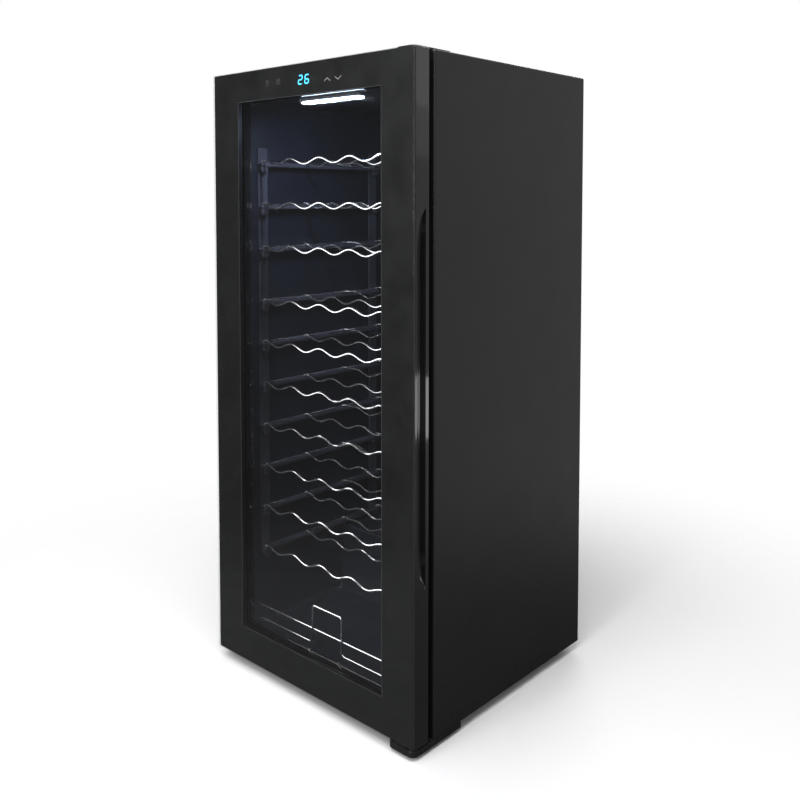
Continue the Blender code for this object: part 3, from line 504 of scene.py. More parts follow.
# By slot: name, dark tone, light tone, roughness, grain, depth and patch
GRAINED = {
    "cabinet_paint": (
        "satin_black_enamel", (0.0125, 0.0125, 0.013), (0.0175, 0.0175, 0.018), (0.26, 0.36), 1.1, 0.03, 120),
    "back_paint": ("back_paint", (0.014, 0.014, 0.015), (0.022, 0.022, 0.023), (0.45, 0.62), 1.6, 0.05, 120),
    "liner_plastic": (
        "liner_moulding", (0.011, 0.012, 0.021), (0.017, 0.018, 0.030), (0.30, 0.44), 0.9, 0.03, 120),
    # Shelf supports: a lighter, purple-grey copy of the liner's plastic, which paints light onto the support
    # ribs.
    "support_painted_light": (
        "shelf_support_painted_light", (0.050, 0.048, 0.064), (0.080, 0.077, 0.100), (0.32, 0.46), 0.9, 0.03, 30),
    "foam": ("poured_foam", (0.62, 0.50, 0.24), (0.80, 0.70, 0.42), (0.8, 0.95), 3, 0.6, 40),
    "duct_plastic": (
        "duct_moulding", (0.040, 0.042, 0.060), (0.056, 0.058, 0.080), (0.30, 0.42), 1, 0.04, 120),
    "fan_plastic": (
        "fan_moulding", (0.016, 0.016, 0.018), (0.026, 0.026, 0.029), (0.28, 0.42), 0.8, 0.03, 20),
    "led_housing": ("lamp_housing", (0.42, 0.43, 0.46), (0.55, 0.56, 0.60), (0.30, 0.45), 0.8, 0.02, 20),
    "led_lens": ("lamp_lens", (0.595, 0.63, 0.70), (0.85, 0.90, 1.0), (0.3, 0.5), 1.2, 0.02, 20),
    "compressor_paint": (
        "compressor_enamel", (0.010, 0.010, 0.011), (0.018, 0.018, 0.019), (0.16, 0.32), 2.2, 0.08, 50),
    "grommet_rubber": (
        "grommet_rubber", (0.012, 0.012, 0.013), (0.026, 0.026, 0.028), (0.55, 0.78), 0.6, 0.04, 30),
    "relay_plastic": (
        "relay_moulding", (0.018, 0.018, 0.020), (0.030, 0.030, 0.033), (0.42, 0.55), 0.6, 0.04, 20),
    "tray_plastic": ("tray_moulding", (0.45, 0.46, 0.46), (0.62, 0.63, 0.62), (0.35, 0.5), 1.2, 0.03, 30),
    "hinge_paint": (
        "hinge_enamel", (0.011, 0.011, 0.012), (0.019, 0.019, 0.020), (0.22, 0.36), 1.3, 0.04, 20),
    "door_plastic": (
        "gloss_black_moulding", (0.006, 0.006, 0.0065), (0.010, 0.010, 0.011), (0.05, 0.09), 30, 0.03, 120),
    "border": ("border_ink", (0.0065, 0.0065, 0.007), (0.0095, 0.0095, 0.010), (0.40, 0.60), 0.5, 0.01, 120),
    "pinstripe": ("pinstripe", (0.075, 0.075, 0.080), (0.115, 0.115, 0.120), (0.30, 0.45), 0.6, 0.01, 10),
    "gasket_rubber": (
        "gasket_rubber", (0.013, 0.013, 0.014), (0.022, 0.022, 0.024), (0.55, 0.78), 0.6, 0.04, 30),
    "grip_metal": (
        "grip_lacquer", (0.006, 0.006, 0.0065), (0.011, 0.011, 0.012), (0.05, 0.10), 30, 0.05, 120),
    "display_black": (
        "display_mask", (0.004, 0.004, 0.005), (0.008, 0.008, 0.009), (0.20, 0.34), 0.8, 0.01, 10),
    "digits": ("display_digits", (0.07, 0.315, 0.49), (0.10, 0.45, 0.70), (0.3, 0.5), 0.8, 0.02, 20),
    "symbols": ("touch_symbols", (0.30, 0.30, 0.31), (0.42, 0.42, 0.43), (0.4, 0.6), 0.6, 0.01, 4),
    "dim_symbols": ("unlit_symbols", (0.15, 0.15, 0.155), (0.21, 0.21, 0.215), (0.4, 0.6), 0.6, 0.01, 4),
    "bush_plastic": ("bush_nylon", (0.60, 0.59, 0.55), (0.74, 0.73, 0.69), (0.38, 0.52), 0.7, 0.02, 6),
    "foot_plastic": (
        "foot_moulding", (0.013, 0.013, 0.014), (0.024, 0.024, 0.025), (0.40, 0.58), 0.9, 0.04, 10),
    "black_steel": (
        "blackened_wire", (0.014, 0.014, 0.015), (0.026, 0.026, 0.027), (0.30, 0.5), 1.2, 0.03, 50),
}
# Slot, colour and strength of what shines by itself
GLOWING = (
    ("led_lens", (0.66, 0.80, 1.0), 16.0),
    ("digits", (0.06, 0.62, 1.0), 3.2),
    ("symbols", (0.75, 0.78, 0.8), 0.22),
)


def window_glass():
    """Thin clear glass: what is behind it shows through, and it mirrors more at a slant, as 0.04 to 1 with
    the fifth power of the slant; faint wiping marks blur the mirror a little."""
    finish = Finish("pane_glass")
    finish.nodes.remove(finish.shader)
    clear = finish.node("ShaderNodeBsdfTransparent", Color=(0.94, 0.945, 0.945, 1.0))
    blur = finish.spread(finish.noise(0.09, 4.0, (1, 1, 0.35)), 0.012, 0.07, 0.45, 0.75)
    mirror = finish.node("ShaderNodeBsdfAnisotropic", Color=WHITE, Roughness=blur)
    slant = finish.node("ShaderNodeLayerWeight", Blend=0.5).outputs["Facing"]
    steep = finish.node("ShaderNodeMath", _0=slant, _1=5.0)
    steep.operation = "POWER"
    share = finish.spread(steep.outputs[0], 0.04, 1.0, 0.0, 1.0)
    finish.surface("Material Output", share, clear.outputs[0], mirror.outputs[0])
    return finish


def drawn_chrome():
    """Bright chromed wire: mirror-like, with faint drawing marks and a slightly milky patch here and
    there."""
    finish = Finish("chromed_wire", metallic=1.0)
    milky = finish.noise(0.025, 4.0)
    finish.feed("Base Color", finish.colours(milky, (0.80, 0.81, 0.84), (0.93, 0.93, 0.95)))
    finish.feed("Roughness", finish.spread(finish.noise(0.004), 0.10, 0.24))
    return finish.bump(finish.noise(0.0009, 2.0, (0.12, 1, 1)), 0.000015)


def galvanised(name, dark, light, roughness):
    """Zinc-coated sheet: frosty crystals of differing brightness and gloss."""
    finish = Finish(name, metallic=1.0)
    spangle = finish.crystals(0.007)
    finish.feed("Base Color", finish.colours(spangle, dark, light, 0.1, 0.9))
    finish.feed("Roughness", finish.spread(spangle, *roughness, 0.1, 0.9))
    return finish.bump(finish.noise(0.002), 0.00001)


def rolled_aluminium(name, dark, light, perforated):
    """Rolled aluminium with long rolling lines; a spacer bar also carries small breather holes."""
    finish = Finish(name, metallic=1.0)
    lines = finish.noise(0.0012, 3.0, (0.03, 1, 1))
    tone = finish.colours(lines, dark, light)
    if perforated:
        holes = finish.crystals(0.0032, output="Distance")
        tone = finish.blended(finish.spread(holes, 1.0, 0.0, 0.16, 0.22), tone, (0.03, 0.03, 0.03))
    finish.feed("Base Color", tone)
    finish.feed("Roughness", finish.spread(lines, 0.22, 0.42))
    return finish.bump(lines, 0.000012)


def drawn_copper():
    """Drawn copper, brown where it has dulled."""
    finish = Finish("copper_pipe", metallic=1.0)
    dull = finish.noise(0.02, 5.0)
    finish.feed("Base Color", finish.colours(dull, (0.33, 0.14, 0.075), (0.78, 0.42, 0.26)))
    finish.feed("Roughness", finish.spread(dull, 0.52, 0.24))
    return finish.bump(finish.noise(0.002, 2.0), 0.00002)


def make_finishes():
    """All finishes, by the name of the record's slot that they belong to, and a few for small trim."""
    made = {slot: grained(*row) for slot, row in GRAINED.items()}
    made["door_plastic"].set("Coat Weight", 0.25).set("Coat Roughness", 0.04)
    ink = made["border"]
    pinholes = ink.crystals(0.004, output="Distance")
    ink.feed("Base Color", ink.colours(pinholes, (0.018, 0.018, 0.019), (0.0085, 0.0085, 0.009), 0.0, 0.08))
    for slot in ("grommet_rubber", "gasket_rubber"):
        made[slot].set("Sheen Weight", 0.15)
    for slot, light, strength in GLOWING:
        made[slot].set("Emission Color", (*light, 1.0)).set("Emission Strength", strength)
    made["pane_glass"] = window_glass()
    made["chrome_wire"] = drawn_chrome()
    made["copper_pipe"] = drawn_copper()
    made["zinc_steel"] = galvanised("zinc_coated_sheet", (0.40, 0.41, 0.42), (0.62, 0.63, 0.64), (0.28, 0.5))
    made["hinge_pin"] = galvanised("hinge_pin_steel", (0.45, 0.45, 0.46), (0.68, 0.68, 0.70), (0.18, 0.34))
    made["screw_steel"] = galvanised("screw_steel", (0.42, 0.42, 0.43), (0.66, 0.66, 0.67), (0.22, 0.38))
    for slot, dark, light, perforated in (
        ("fin_aluminium", (0.60, 0.61, 0.63), (0.82, 0.83, 0.85), False),
        ("spacer_aluminium", (0.05, 0.05, 0.055), (0.10, 0.10, 0.11), True),
    ):
        made[slot] = rolled_aluminium(slot, dark, light, perforated)
    finishes.update({slot: finish.material for slot, finish in made.items()})


# ---------------------------------------------------------------- cabinet


def cabinet_wrap():
    """Steel sheet bent round the front edge: its section runs forward along the side, turns inwards on a
    bend, and comes back inside one sheet's thickness away. Each of its points is carried up the left side,
    round the two top corners and down the right side, drawn in by its distance from the side."""
    low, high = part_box("cabinet_wrap")
    sheet, bend, flange, corner = 0.0015, 0.0035, 0.042, 0.005
    outer = arc((bend, low.y + bend), bend, 180, 270, 7)
    inner = arc((bend, low.y + bend), bend - sheet, 270, 180, 5)
    lip = [(flange, low.y), (flange, low.y + sheet)]
    section = np.concatenate(([(0, high.y)], outer, lip, inner, [(sheet, high.y)]))
    inset, depth = section.T
    radius = np.maximum(corner - inset, 0.001)
    radius[inset > flange - 0.001] = 0.004
    half, top = cad_high.x - inset, high.z - inset
    feet = [np.stack((side * half, np.full_like(half, low.z)), -1)[:, None] for side in (-1, 1)]
    corners = []
    for side, start, stop in ((-1, 180, 90), (1, 90, 0)):
        turn = np.radians(np.linspace(start, stop, 9))
        x = side * (half - radius)[:, None] + radius[:, None] * np.cos(turn)
        z = (top - radius)[:, None] + radius[:, None] * np.sin(turn)
        corners.append(np.stack((x, z), -1))
    points = laid_out(np.concatenate((feet[0], *corners, feet[1]), axis=1), (0, 2, 1), depth)
    rows, columns = points.shape[:2]
    faces = cells(rows, columns, wrap_rows=True)
    faces += [[row * columns + end for row in range(rows)] for end in (0, columns - 1)]
    shell = (points.reshape(-1, 3), faces)
    piece("cabinet_shell", [shell], "cabinet_paint", replaces="cabinet_wrap", angle=30)


def liner():
    """Vacuum-formed tub: rounded rectangles from the lip to the back, whose floor climbs over the machine
    bay along a drafted riser with a fillet at its foot and a round at its top."""
    low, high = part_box("inner_liner")
    half, floor, ceiling = 0.2395, 0.065, 1.232
    back, step_front, step_top = 0.228, 0.058, 0.220
    edge, fillet, corner, lip_corner, top_round, draft = 0.002, 0.010, 0.012, 0.005, 0.008, 0.010
    front = low.y
    face = front + 0.0002

    def ring(out, y, bottom=floor, corner_radius=corner):
        return half + out, bottom - out, ceiling + out, corner_radius, y

    rings = [(high.x, low.z, high.z, lip_corner, face), ring(edge, face)]
    for a in np.linspace(0.2, QUARTER, 4):
        rings.append(ring(edge * (1 - math.sin(a)), front + edge * (1 - math.cos(a))))
    foot_y = step_front - draft
    foot = arc((foot_y - fillet, floor + fillet), fillet, 270, 360)
    top = arc((step_front + top_round, step_top - top_round), top_round, 180, 90)
    level = np.stack((np.linspace(front + 0.03, foot_y - 0.03, 5), np.full(5, floor)), -1)
    rings += [ring(0, y, z) for y, z in np.concatenate((level, foot, top))]
    for a in np.linspace(0, QUARTER, 7):
        inset = fillet * (1 - math.cos(a))
        rings.append(ring(-inset, back - fillet + fillet * math.sin(a), step_top, corner - 0.9 * inset))
    rings = standing_rings(rings)
    rows, columns = rings.shape[:2]
    faces = cells(rows, columns, False, True)
    faces.append(list(range((rows - 1) * columns, rows * columns)))
    tub = piece("liner_tub", [(rings.reshape(-1, 3), faces)], "liner_plastic", replaces="inner_liner")
    edit_mesh(tub.data, inwards=Vector((0, 0, 0.7)))
    wall = tub.modifiers.new("wall", "SOLIDIFY")
    wall.thickness = 0.0013
    wall.offset = -1


def shelf_heights():
    """Height of each shelf's trough wires, from the lowest shelf up."""
    return [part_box(f"shelf_{n}")[0].z + WIRE for n in SHELVES]


def shelf_supports():
    """Two upright strips on each wall, joined by a rounded ledge under each shelf with a boss at both ends.
    A block's reach is from 0 at the wall to 1 at the ledge's tip."""
    strip_reach, strip_width, ledge, boss_length = 0.17, 0.026, 0.009, 0.020
    for name, side in (("shelf_support_left", -1), ("shelf_support_right", 1)):
        low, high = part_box(name)
        wall, tip = (high.x, low.x) if side > 0 else (low.x, high.x)

        def block(reach, y, z, edge, corner):
            x = sorted(wall + (tip - wall) * share for share in reach)
            return rounded_block((x[0], y[0], z[0]), (x[1], y[1], z[1]), edge, corner, axis=0)

        front_strip, rear_strip = (low.y, low.y + strip_width), (high.y - strip_width, high.y)
        front_boss, rear_boss = (low.y, low.y + boss_length), (high.y - boss_length, high.y)
        shells = [
            block((0, strip_reach), y, (low.z, high.z), 0.001, 0.006) for y in (front_strip, rear_strip)
        ]
        for height in shelf_heights():
            top = height + LEDGE_ABOVE_TROUGH
            shells.append(block((0, 1), (low.y, high.y), (top - ledge, top), 0.0028, 0.0040))
            shells.append(block((0.1, 0.93), front_boss, (top - 0.024, top - 0.001), 0.005, 0.009))
            shells.append(block((0.1, 0.80), rear_boss, (top - 0.020, top - 0.001), 0.004, 0.008))
        # The supports are in the liner's slot; their lighter finish is painted light on the ribs.
        piece(f"{name}_moulding", shells, "support_painted_light", replaces=name, slot="liner_plastic")


def shelves():
    """Wave wires z = trough + H (1 - cos(2 pi x / pitch)) / 2; the two rear ones are half a pitch out of
    step and run level beyond their last crest. A side rail joins the ends of the four."""
    rail_x, first_wire, wire_gap = 0.2255, 0.004, 0.120
    x = np.linspace(-rail_x, rail_x, 181)
    swing = np.cos(2 * math.pi * x / WAVE_PITCH)
    in_step = WAVE_HEIGHT * (1 - swing) / 2
    out_of_step = np.where(np.abs(x) < 2 * WAVE_PITCH, WAVE_HEIGHT * (1 + swing) / 2, WAVE_HEIGHT)
    for n, trough in zip(SHELVES, shelf_heights()):
        low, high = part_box(f"shelf_{n}")
        shells = []
        for k, wave in enumerate((in_step, in_step, out_of_step, out_of_step)):
            y = np.full_like(x, low.y + first_wire + k * wire_gap)
            shells.append(tube(np.stack((x, y, trough + wave), -1), WIRE, 10))
        rail_z = trough + WAVE_HEIGHT - RAIL_DROP
        for side in (-rail_x, rail_x):
            rail = np.linspace((side, low.y, rail_z), (side, high.y, rail_z), 3)
            shells.append(tube(rail, WIRE, 10, across=(1, 0, 0)))
        piece(f"wave_shelf_{n}", shells, "chrome_wire", f"shelf_{n}_body", f"shelf_{n}")


def bottle_guard():
    """Fence of two chromed wires; the lower one rises into a loop that holds a bottle's neck."""
    low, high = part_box("bottle_guard")
    upper_z, slant, bend = 0.103, (0.004, 0.012), 0.009
    low_z, loop_z = low.z + WIRE, high.z - WIRE
    left, right = GUARD_LOOP
    upper = [(x, high.y - WIRE, upper_z) for x in (low.x, 0, high.x)]
    corners = [
        (low.x, low_z), (left - slant[0], low_z), (left, low_z + slant[1]), (left, loop_z), (right, loop_z),
        (right, low_z), (high.x, low_z),
    ]
    lower = bent_path([(x, low.y + WIRE, z) for x, z in corners], bend)
    piece("bottle_rail", [tube(upper, WIRE), tube(lower, WIRE)], "chrome_wire", replaces="bottle_guard")


def lamp():
    """Ceiling lamp: a shallow housing, and a frosted lens with a superellipse for its section, whose
    underside swells as 0.55 + 0.45 |cos| over each of five diodes."""
    low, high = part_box("led_housing")
    piece("lamp_housing", [rounded_block(low, high, 0.0012, 0.004)], "led_housing", replaces="led_housing")
    low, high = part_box("led_lens")
    diodes, end_sharpness = 5, 30
    middle, half = (low + high) / 2, (high - low) / 2
    along = np.linspace(low.x, high.x, 121)
    share = (along - middle.x) / half.x
    swell = (0.55 + 0.45 * np.abs(np.cos(diodes / 2 * math.pi * share)))[:, None]
    rim = (np.clip((1 - np.abs(share)) * end_sharpness, 0.05, 1) ** 0.5)[:, None]
    turn = full_turn(24)
    y = np.sign(np.cos(turn)) * np.abs(np.cos(turn)) ** 0.4 * half.y
    z = np.sign(np.sin(turn)) * np.abs(np.sin(turn)) ** 0.6 * half.z
    under = np.where(z[None] < 0, swell, 1.0)
    y = middle.y + y[None] * rim * (0.8 + 0.2 * swell)
    section = np.stack((y, middle.z + z[None] * under * rim), -1)
    piece("lamp_lens", [loft(laid_out(section, (1, 2, 0), along))], "led_lens", replaces="led_lens")


def fan():
    """Seven swept blades on a domed hub: each blade is a sheet in radius r and chord c, turned by c over r,
    pitched back along its chord, with the same sheet again a blade's thickness behind it."""
    low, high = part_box("evaporator_fan")
    blades, root, half_thickness = 7, 0.013, 0.0006
    centre = np.array([0.0, (low.y + high.y) / 2, (low.z + high.z) / 2])
    tip = (high.z - low.z) / 2
    depth = (high.y - low.y) / 2
    radius = np.linspace(root, tip - 0.0008, 12)[:, None]
    chord = np.linspace(-1, 1, 9)[None, :]
    sweep = 0.35 * ((radius - root) / tip) ** 1.5
    angle = sweep + chord * (0.0085 + 0.10 * (radius - root)) / radius
    pitch = chord * 0.62 * depth + 0.0006 * np.cos(chord * QUARTER)
    shells = []
    for k in range(blades):
        turn = angle + 2 * math.pi * k / blades
        x, z = radius * np.sin(turn), radius * np.cos(turn)
        front, back = (
            np.stack(np.broadcast_arrays(x, pitch + shift, z), -1)
            for shift in (-half_thickness, half_thickness)
        )
        points, faces = loft(np.concatenate((front, back[:, ::-1]), axis=1))
        shells.append((points + centre, faces))
    hub = [
        (0, -depth), (0.010, -depth), (0.0145, -depth + 0.0015), (0.016, -depth + 0.004), (0.016, depth),
        (0, depth),
    ]
    shells.append(turned(hub, centre, axis=1, steps=40))
    piece("fan_rotor", shells, "fan_plastic", "fan", "evaporator_fan")


# ---------------------------------------------------------------- door


def scoop_reach(z, low_z, high_z):
    """How far the grip is open at a height, from 0 to 1: full along its middle and a quarter ellipse at
    each end."""
    end_length = 0.095
    middle, half = (low_z + high_z) / 2, (high_z - low_z) / 2
    into_end = (np.abs(z - middle) - (half - end_length)) / end_length
    return np.sqrt(np.clip(1 - np.clip(into_end, 0, 1) ** 2, 0, 1))


def scoop_depth(share, reach, depth):
    """Hollow section across the grip, share 0 at its front rim and 1 at its rear rim: a superellipse."""
    across = np.abs(2 * share - 1)
    return depth * reach * np.clip(1 - across**2.6, 0, 1) ** 0.62


def scoop_shares(steps):
    """Shares of the way across the grip, closer together at its rims."""
    return (1 - np.cos(np.linspace(0, math.pi, steps + 1))) / 2


def between(inner, outer, share):
    """A row (half width, low z, high z) that lies a share of the way from the inner one to the outer one."""
    return [a + (b - a) * share for a, b in zip(inner, outer)]


def door_frame():
    """Profile carried round the door's edge: front land, rounded corners, outer side, back, and the inner
    wall of the glazing opening. On the two uprights the side is drawn in by the grip's hollow."""
    low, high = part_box("door_frame")
    grip_low, grip_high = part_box("grip_right")
    inner = (WINDOW[0] + REBATE, WINDOW[1] - REBATE, WINDOW[2] + REBATE)
    outer = (high.x, low.z, high.z)
    front, back = low.y, high.y
    front_round, back_round, bar_width, least_width, gap = 0.0012, 0.0025, 0.06, 0.06, 0.0002
    rim_front, rim_back = grip_low.y - gap, grip_high.y + gap
    rims = rim_back - rim_front
    shares = scoop_shares(16)
    rounding = [
        (1 - front_round / bar_width * (1 - math.sin(a)), front + front_round * (1 - math.cos(a)))
        for a in np.linspace(0, QUARTER, 4)
    ]
    before = [(1.0, y) for y in np.linspace(front + front_round, rim_front, 4)[1:-1]]
    hollow = [(1.0, rim_front + rims * s) for s in shares]
    behind = [(1.0, y) for y in np.linspace(rim_back, back - back_round, 4)[1:]]
    rear = [
        (1 - back_round / bar_width * (1 - math.cos(a)), back - back_round + back_round * math.sin(a))
        for a in np.linspace(0.3, QUARTER, 4)
    ]
    face, rear_face = [(0.0, front), (0.3, front)], [(0.5, back), (0.0, back)]
    section = face + rounding + before + hollow + behind + rear + rear_face
    rows = [(*between(inner, outer, share), 0.0015 + 0.0010 * share, y) for share, y in section]
    rings = standing_rings(rows, 4, 260)
    first = 2 + len(rounding) + len(before)
    last = first + len(hollow)
    on_side = np.abs(np.abs(rings[first, :, 0]) - high.x) < 1e-6
    reach = scoop_reach(rings[first, :, 2], grip_low.z - 0.0003, grip_high.z + 0.0003) * on_side
    width = np.maximum(reach, least_width)
    rings[first:last, :, 1] = rim_back - rims * (1 - shares[:, None]) * width
    depth = scoop_depth(shares[:, None], reach, grip_high.x - grip_low.x - 0.0004)
    rings[first:last, :, 0] -= np.sign(rings[first:last, :, 0]) * depth
    edge = front + front_round
    land = np.linspace(0, 1, 4)[1:-1, None]
    rings[first - 2 : first, :, 1] = edge + (rim_back - rims * width - edge) * land
    piece("door_surround", [loft(rings, closed=True)], "door_plastic", "door", "door_frame", angle=38)


def grips():
    """Lacquered scoop let into each upright: the hollow's skin, and the same skin again one wall deeper."""
    wall, least_width, end_gap, rim_gap, floor_gap = 0.0009, 0.08, 0.0006, 0.0002, 0.0026
    shares = scoop_shares(28)[None, :]
    for name, side in (("grip_right", 1), ("grip_left", -1)):
        low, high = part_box(name)
        z = np.linspace(low.z + end_gap, high.z - end_gap, 181)[:, None]
        reach = scoop_reach(z, low.z, high.z)
        width = np.maximum(reach, least_width) * (high.y - low.y - 2 * rim_gap)
        face = max(abs(low.x), abs(high.x)) - 0.00015
        y = high.y - rim_gap - width * (1 - shares)
        hollow = scoop_depth(shares, reach, abs(high.x - low.x) - floor_gap)
        skin, backing = (
            np.stack(np.broadcast_arrays(side * (face - deeper - hollow), y, z), -1)
            for deeper in (0.0, wall)
        )
        rings = np.concatenate((skin, backing[:, ::-1]), axis=1)
        piece(f"{name}_scoop", [loft(rings)], "grip_metal", "door", name, angle=50)


def framed_ring(name, finish, section, low, high, inner, corner=0.002, **more):
    """Section carried round the window; rows (share, y), share 0 at the opening and 1 at the outer edge."""
    rows = [(*between(inner, (high.x, low.z, high.z), share), corner, y) for share, y in section]
    piece(name, [loft(standing_rings(rows), closed=True)], finish, "door", **more)


def glazing():
    """Two panes with ground edges, the border and pinstripe printed behind the outer one, the spacer bar
    between them and the lip that holds them."""
    for node, name in (("door_outer_glass", "outer_pane"), ("door_inner_glass", "inner_pane")):
        low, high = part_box(node)
        piece(name, [rounded_block(low, high, 0.0007, 0.002, axis=1)], "pane_glass", "door", node)
    low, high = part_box("door_outer_glass")
    margin = Vector((0.0006, 0, 0.0006))
    stripe = 0.0010
    printed = high.y + 0.00002
    dried = printed + 0.00012
    ink = [(0.0, printed), (1.0, printed), (1.0, dried), (0.0, dried)]
    low, high = low + margin, high - margin
    framed_ring("printed_border", "border", ink, low, high, WINDOW, 0.003, slot="display_black")
    edge = (WINDOW[0] - stripe, WINDOW[1] + stripe, WINDOW[2] - stripe)
    corners = Vector((-WINDOW[0], 0, WINDOW[1])), Vector((WINDOW[0], 0, WINDOW[2]))
    framed_ring("printed_pinstripe", "pinstripe", ink, *corners, edge, slot="display_black")
    low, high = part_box("glazing_spacer")
    chamfer, gap = 0.0015, 0.0004
    bar = [
        (0, low.y + chamfer), (0.12, low.y), (1, low.y), (1, high.y), (0.12, high.y), (0, high.y - chamfer),
    ]
    inner = (WINDOW[0] + gap, WINDOW[1] - gap, WINDOW[2] + gap)
    framed_ring("spacer_bar", "spacer_aluminium", bar, low, high, inner, replaces="glazing_spacer")
    low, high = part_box("glazing_bead")
    shoulder, fall = 0.55, 0.0165
    lip = [(0, low.y + 0.0006), (0.05, low.y), (1, low.y), (1, high.y), (shoulder, high.y)]
    lip += [(shoulder * (1 - s), high.y - fall * s**1.8) for s in np.linspace(0, 1, 7)[1:]]
    framed_ring("glazing_lip", "door_plastic", lip, low, high, WINDOW, replaces="glazing_bead")


def gasket():
    """Magnetic seal: its section is as wide as 1 - 0.30 sin^2 of its depth lets it be, which folds it into
    bellows between the foot in the door and the bulb that meets the cabinet."""
    low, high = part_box("door_gasket")
    bellows, seal_width = 0.62, 0.020
    share = np.linspace(0, 1, 33)
    fold = 1 - 0.30 * np.sin(2.5 * math.pi * np.clip(share / bellows, 0, 1)) ** 2
    bulb = np.sqrt(np.clip(1 - ((share - 0.72) / 0.285) ** 2, 0, 1))
    half = 0.5 * np.clip(np.where(share > bellows, bulb, fold), 0.12, 1)
    y = low.y + share * (high.y - low.y)
    section = [(0.5 + h, v) for h, v in zip(half, y)] + [(0.5 - h, v) for h, v in zip(half[::-1], y[::-1])]
    inner = (high.x - seal_width, low.z + seal_width, high.z - seal_width)
    framed_ring("magnetic_seal", "gasket_rubber", section, low, high, inner, 0.004, replaces="door_gasket")


SEGMENTS = {
    "a": ((-1, 1), (1, 1)), "g": ((-1, 0), (1, 0)), "d": ((-1, -1), (1, -1)),
    "f": ((-1, 0), (-1, 1)), "b": ((1, 0), (1, 1)), "e": ((-1, -1), (-1, 0)), "c": ((1, -1), (1, 0)),
}


def digit(segments, centre):
    """Seven-segment digit: each lit segment is a long hexagon with pointed ends."""
    half_size, stroke, slant, gap = (0.00525, 0.00825), 0.0021, 0.10, 0.0004
    plates = []
    for key in segments:
        start, end = (np.array(place) * half_size for place in SEGMENTS[key])
        along = (end - start) / np.linalg.norm(end - start)
        side = np.array([-along[1], along[0]]) * stroke / 2
        start, end = start + along * gap, end - along * gap
        point = along * stroke / 2
        outline = np.array(
            [start, start + point + side, end - point + side, end, end - point - side, start + point - side]
        )
        outline[:, 0] += slant * outline[:, 1]
        plates.append(outline + centre)
    return plates


def stroke_plate(points, width=0.0010):
    """Flat stroke along a line: the line moved to either side by half its width."""
    points = np.asarray(points, float)
    along = unit(np.gradient(points, axis=0))
    side = np.stack((-along[:, 1], along[:, 0]), -1) * width / 2
    return np.concatenate((points + side, (points - side)[::-1]))


def display():
    """Display module behind the pane, its two digits, two arrow keys and two unlit symbols."""
    low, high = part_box("display_unit")
    module = rounded_block((low.x, low.y + 0.0001, low.z), high, 0.0012, 0.003, axis=1)
    piece("display_module", [module], "display_black", "door", "display_unit")
    behind_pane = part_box("door_outer_glass")[1].y
    depths = (behind_pane + 0.000004, behind_pane + 0.000016)
    digits_z, left_x, right_x = 1.2570, -0.0100, 0.0090
    keys_z, rise, half_key, key_stroke = 1.2510, 0.0028, 0.0085, 0.0013
    keys = []
    for x, up in ((0.067, 1), (0.097, -1)):
        peak = keys_z + rise * up
        arrow = [(x - half_key, peak - 0.0060 * up), (x, peak), (x + half_key, peak - 0.0060 * up)]
        keys += [stroke_plate(arrow[:2], key_stroke), stroke_plate(arrow[1:], key_stroke)]
    power_x, power_z, lamp_x, lamp_z = -0.077, 1.2595, -0.112, 1.2605
    unlit = [
        stroke_plate(arc((power_x, power_z), 0.0048, 120, 420, 20)),
        stroke_plate([(power_x, power_z), (power_x, power_z + 0.0060)]),
        stroke_plate(arc((lamp_x, lamp_z), 0.0036, -60, 240, 18)),
        stroke_plate([(lamp_x - 0.0020, lamp_z - 0.0060), (lamp_x + 0.0020, lamp_z - 0.0060)]),
    ]
    lit = digit("abged", (left_x, digits_z)) + digit("afgedc", (right_x, digits_z))
    for name, outlines, finish in (
        ("display_digits", lit, "digits"),
        ("arrow_keys", keys, "symbols"),
        ("unlit_symbols", unlit, "dim_symbols"),
    ):
        piece(name, [ribbon_plate(outline, depths) for outline in outlines], finish, "door", slot=None)


# ---------------------------------------------------------------- hinges, feet and screws


def hinge_plate(node, corner, levels):
    """Plate with two rounded front corners, built of the same outline at several heights; rows (z, inset
    towards the outline's middle)."""
    low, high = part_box(node)
    right = arc((high.x - corner, low.y + corner), corner, -90, 0, 10)
    left = arc((low.x + corner, low.y + corner), corner, 180, 270, 10)
    outline = np.concatenate((left, right, [(high.x, high.y), (low.x, high.y)]))
    middle = (outline.min(0) + outline.max(0)) / 2
    half = (outline.max(0) - outline.min(0)) / 2
    z, inset = np.asarray(levels, float).T
    scale = 1 - inset[:, None, None] / half
    return loft(laid_out(middle + (outline - middle)[None] * scale, (0, 1, 2), z))


def lower_hinge():
    """Pressed bracket under the door's corner: rounded nose, a raised pad under the cabinet, and the nylon
    washer on its pin, an open ring, whose pale tone is also a painted highlight under the door's corner."""
    low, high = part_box("lower_hinge_bracket")
    top, nose, cabinet_front, set_in = high.z - 0.0010, 0.014, -0.231, 0.003
    body = hinge_plate("lower_hinge_bracket", nose, [
        (low.z, 0.0006), (low.z + 0.0006, 0), (top - 0.0018, 0), (top - 0.0006, 0.0005), (top, 0.0018),
    ])
    first = (low.x + 0.004, cabinet_front, top - 0.002)
    pad = rounded_block(first, high - Vector((set_in, set_in, 0)), 0.0007, 0.004)
    piece("hinge_bracket", [body, pad], "hinge_paint", replaces="lower_hinge_bracket")
    # Pale nylon washer: its light tone also stands in for the bright dash under the door, a painted
    # highlight.
    washer = [
        (0.0044, 0), (0.0075, 0), (0.0080, 0.0003), (0.0080, 0.0010), (0.0075, 0.0013), (0.0044, 0.0013),
    ]
    x, y, _ = middle_of("lower_hinge_pin")
    points, faces = turned(washer, (x, y, top + 0.00015))
    inner_wall = cells(len(washer), 36, True, True)[-36:]
    # The washer's pale nylon doubles as a painted highlight between the bracket and the door.
    piece("hinge_washer_and_painted_highlight", [(points, faces[:-2] + inner_wall)], "bush_plastic", slot=None)


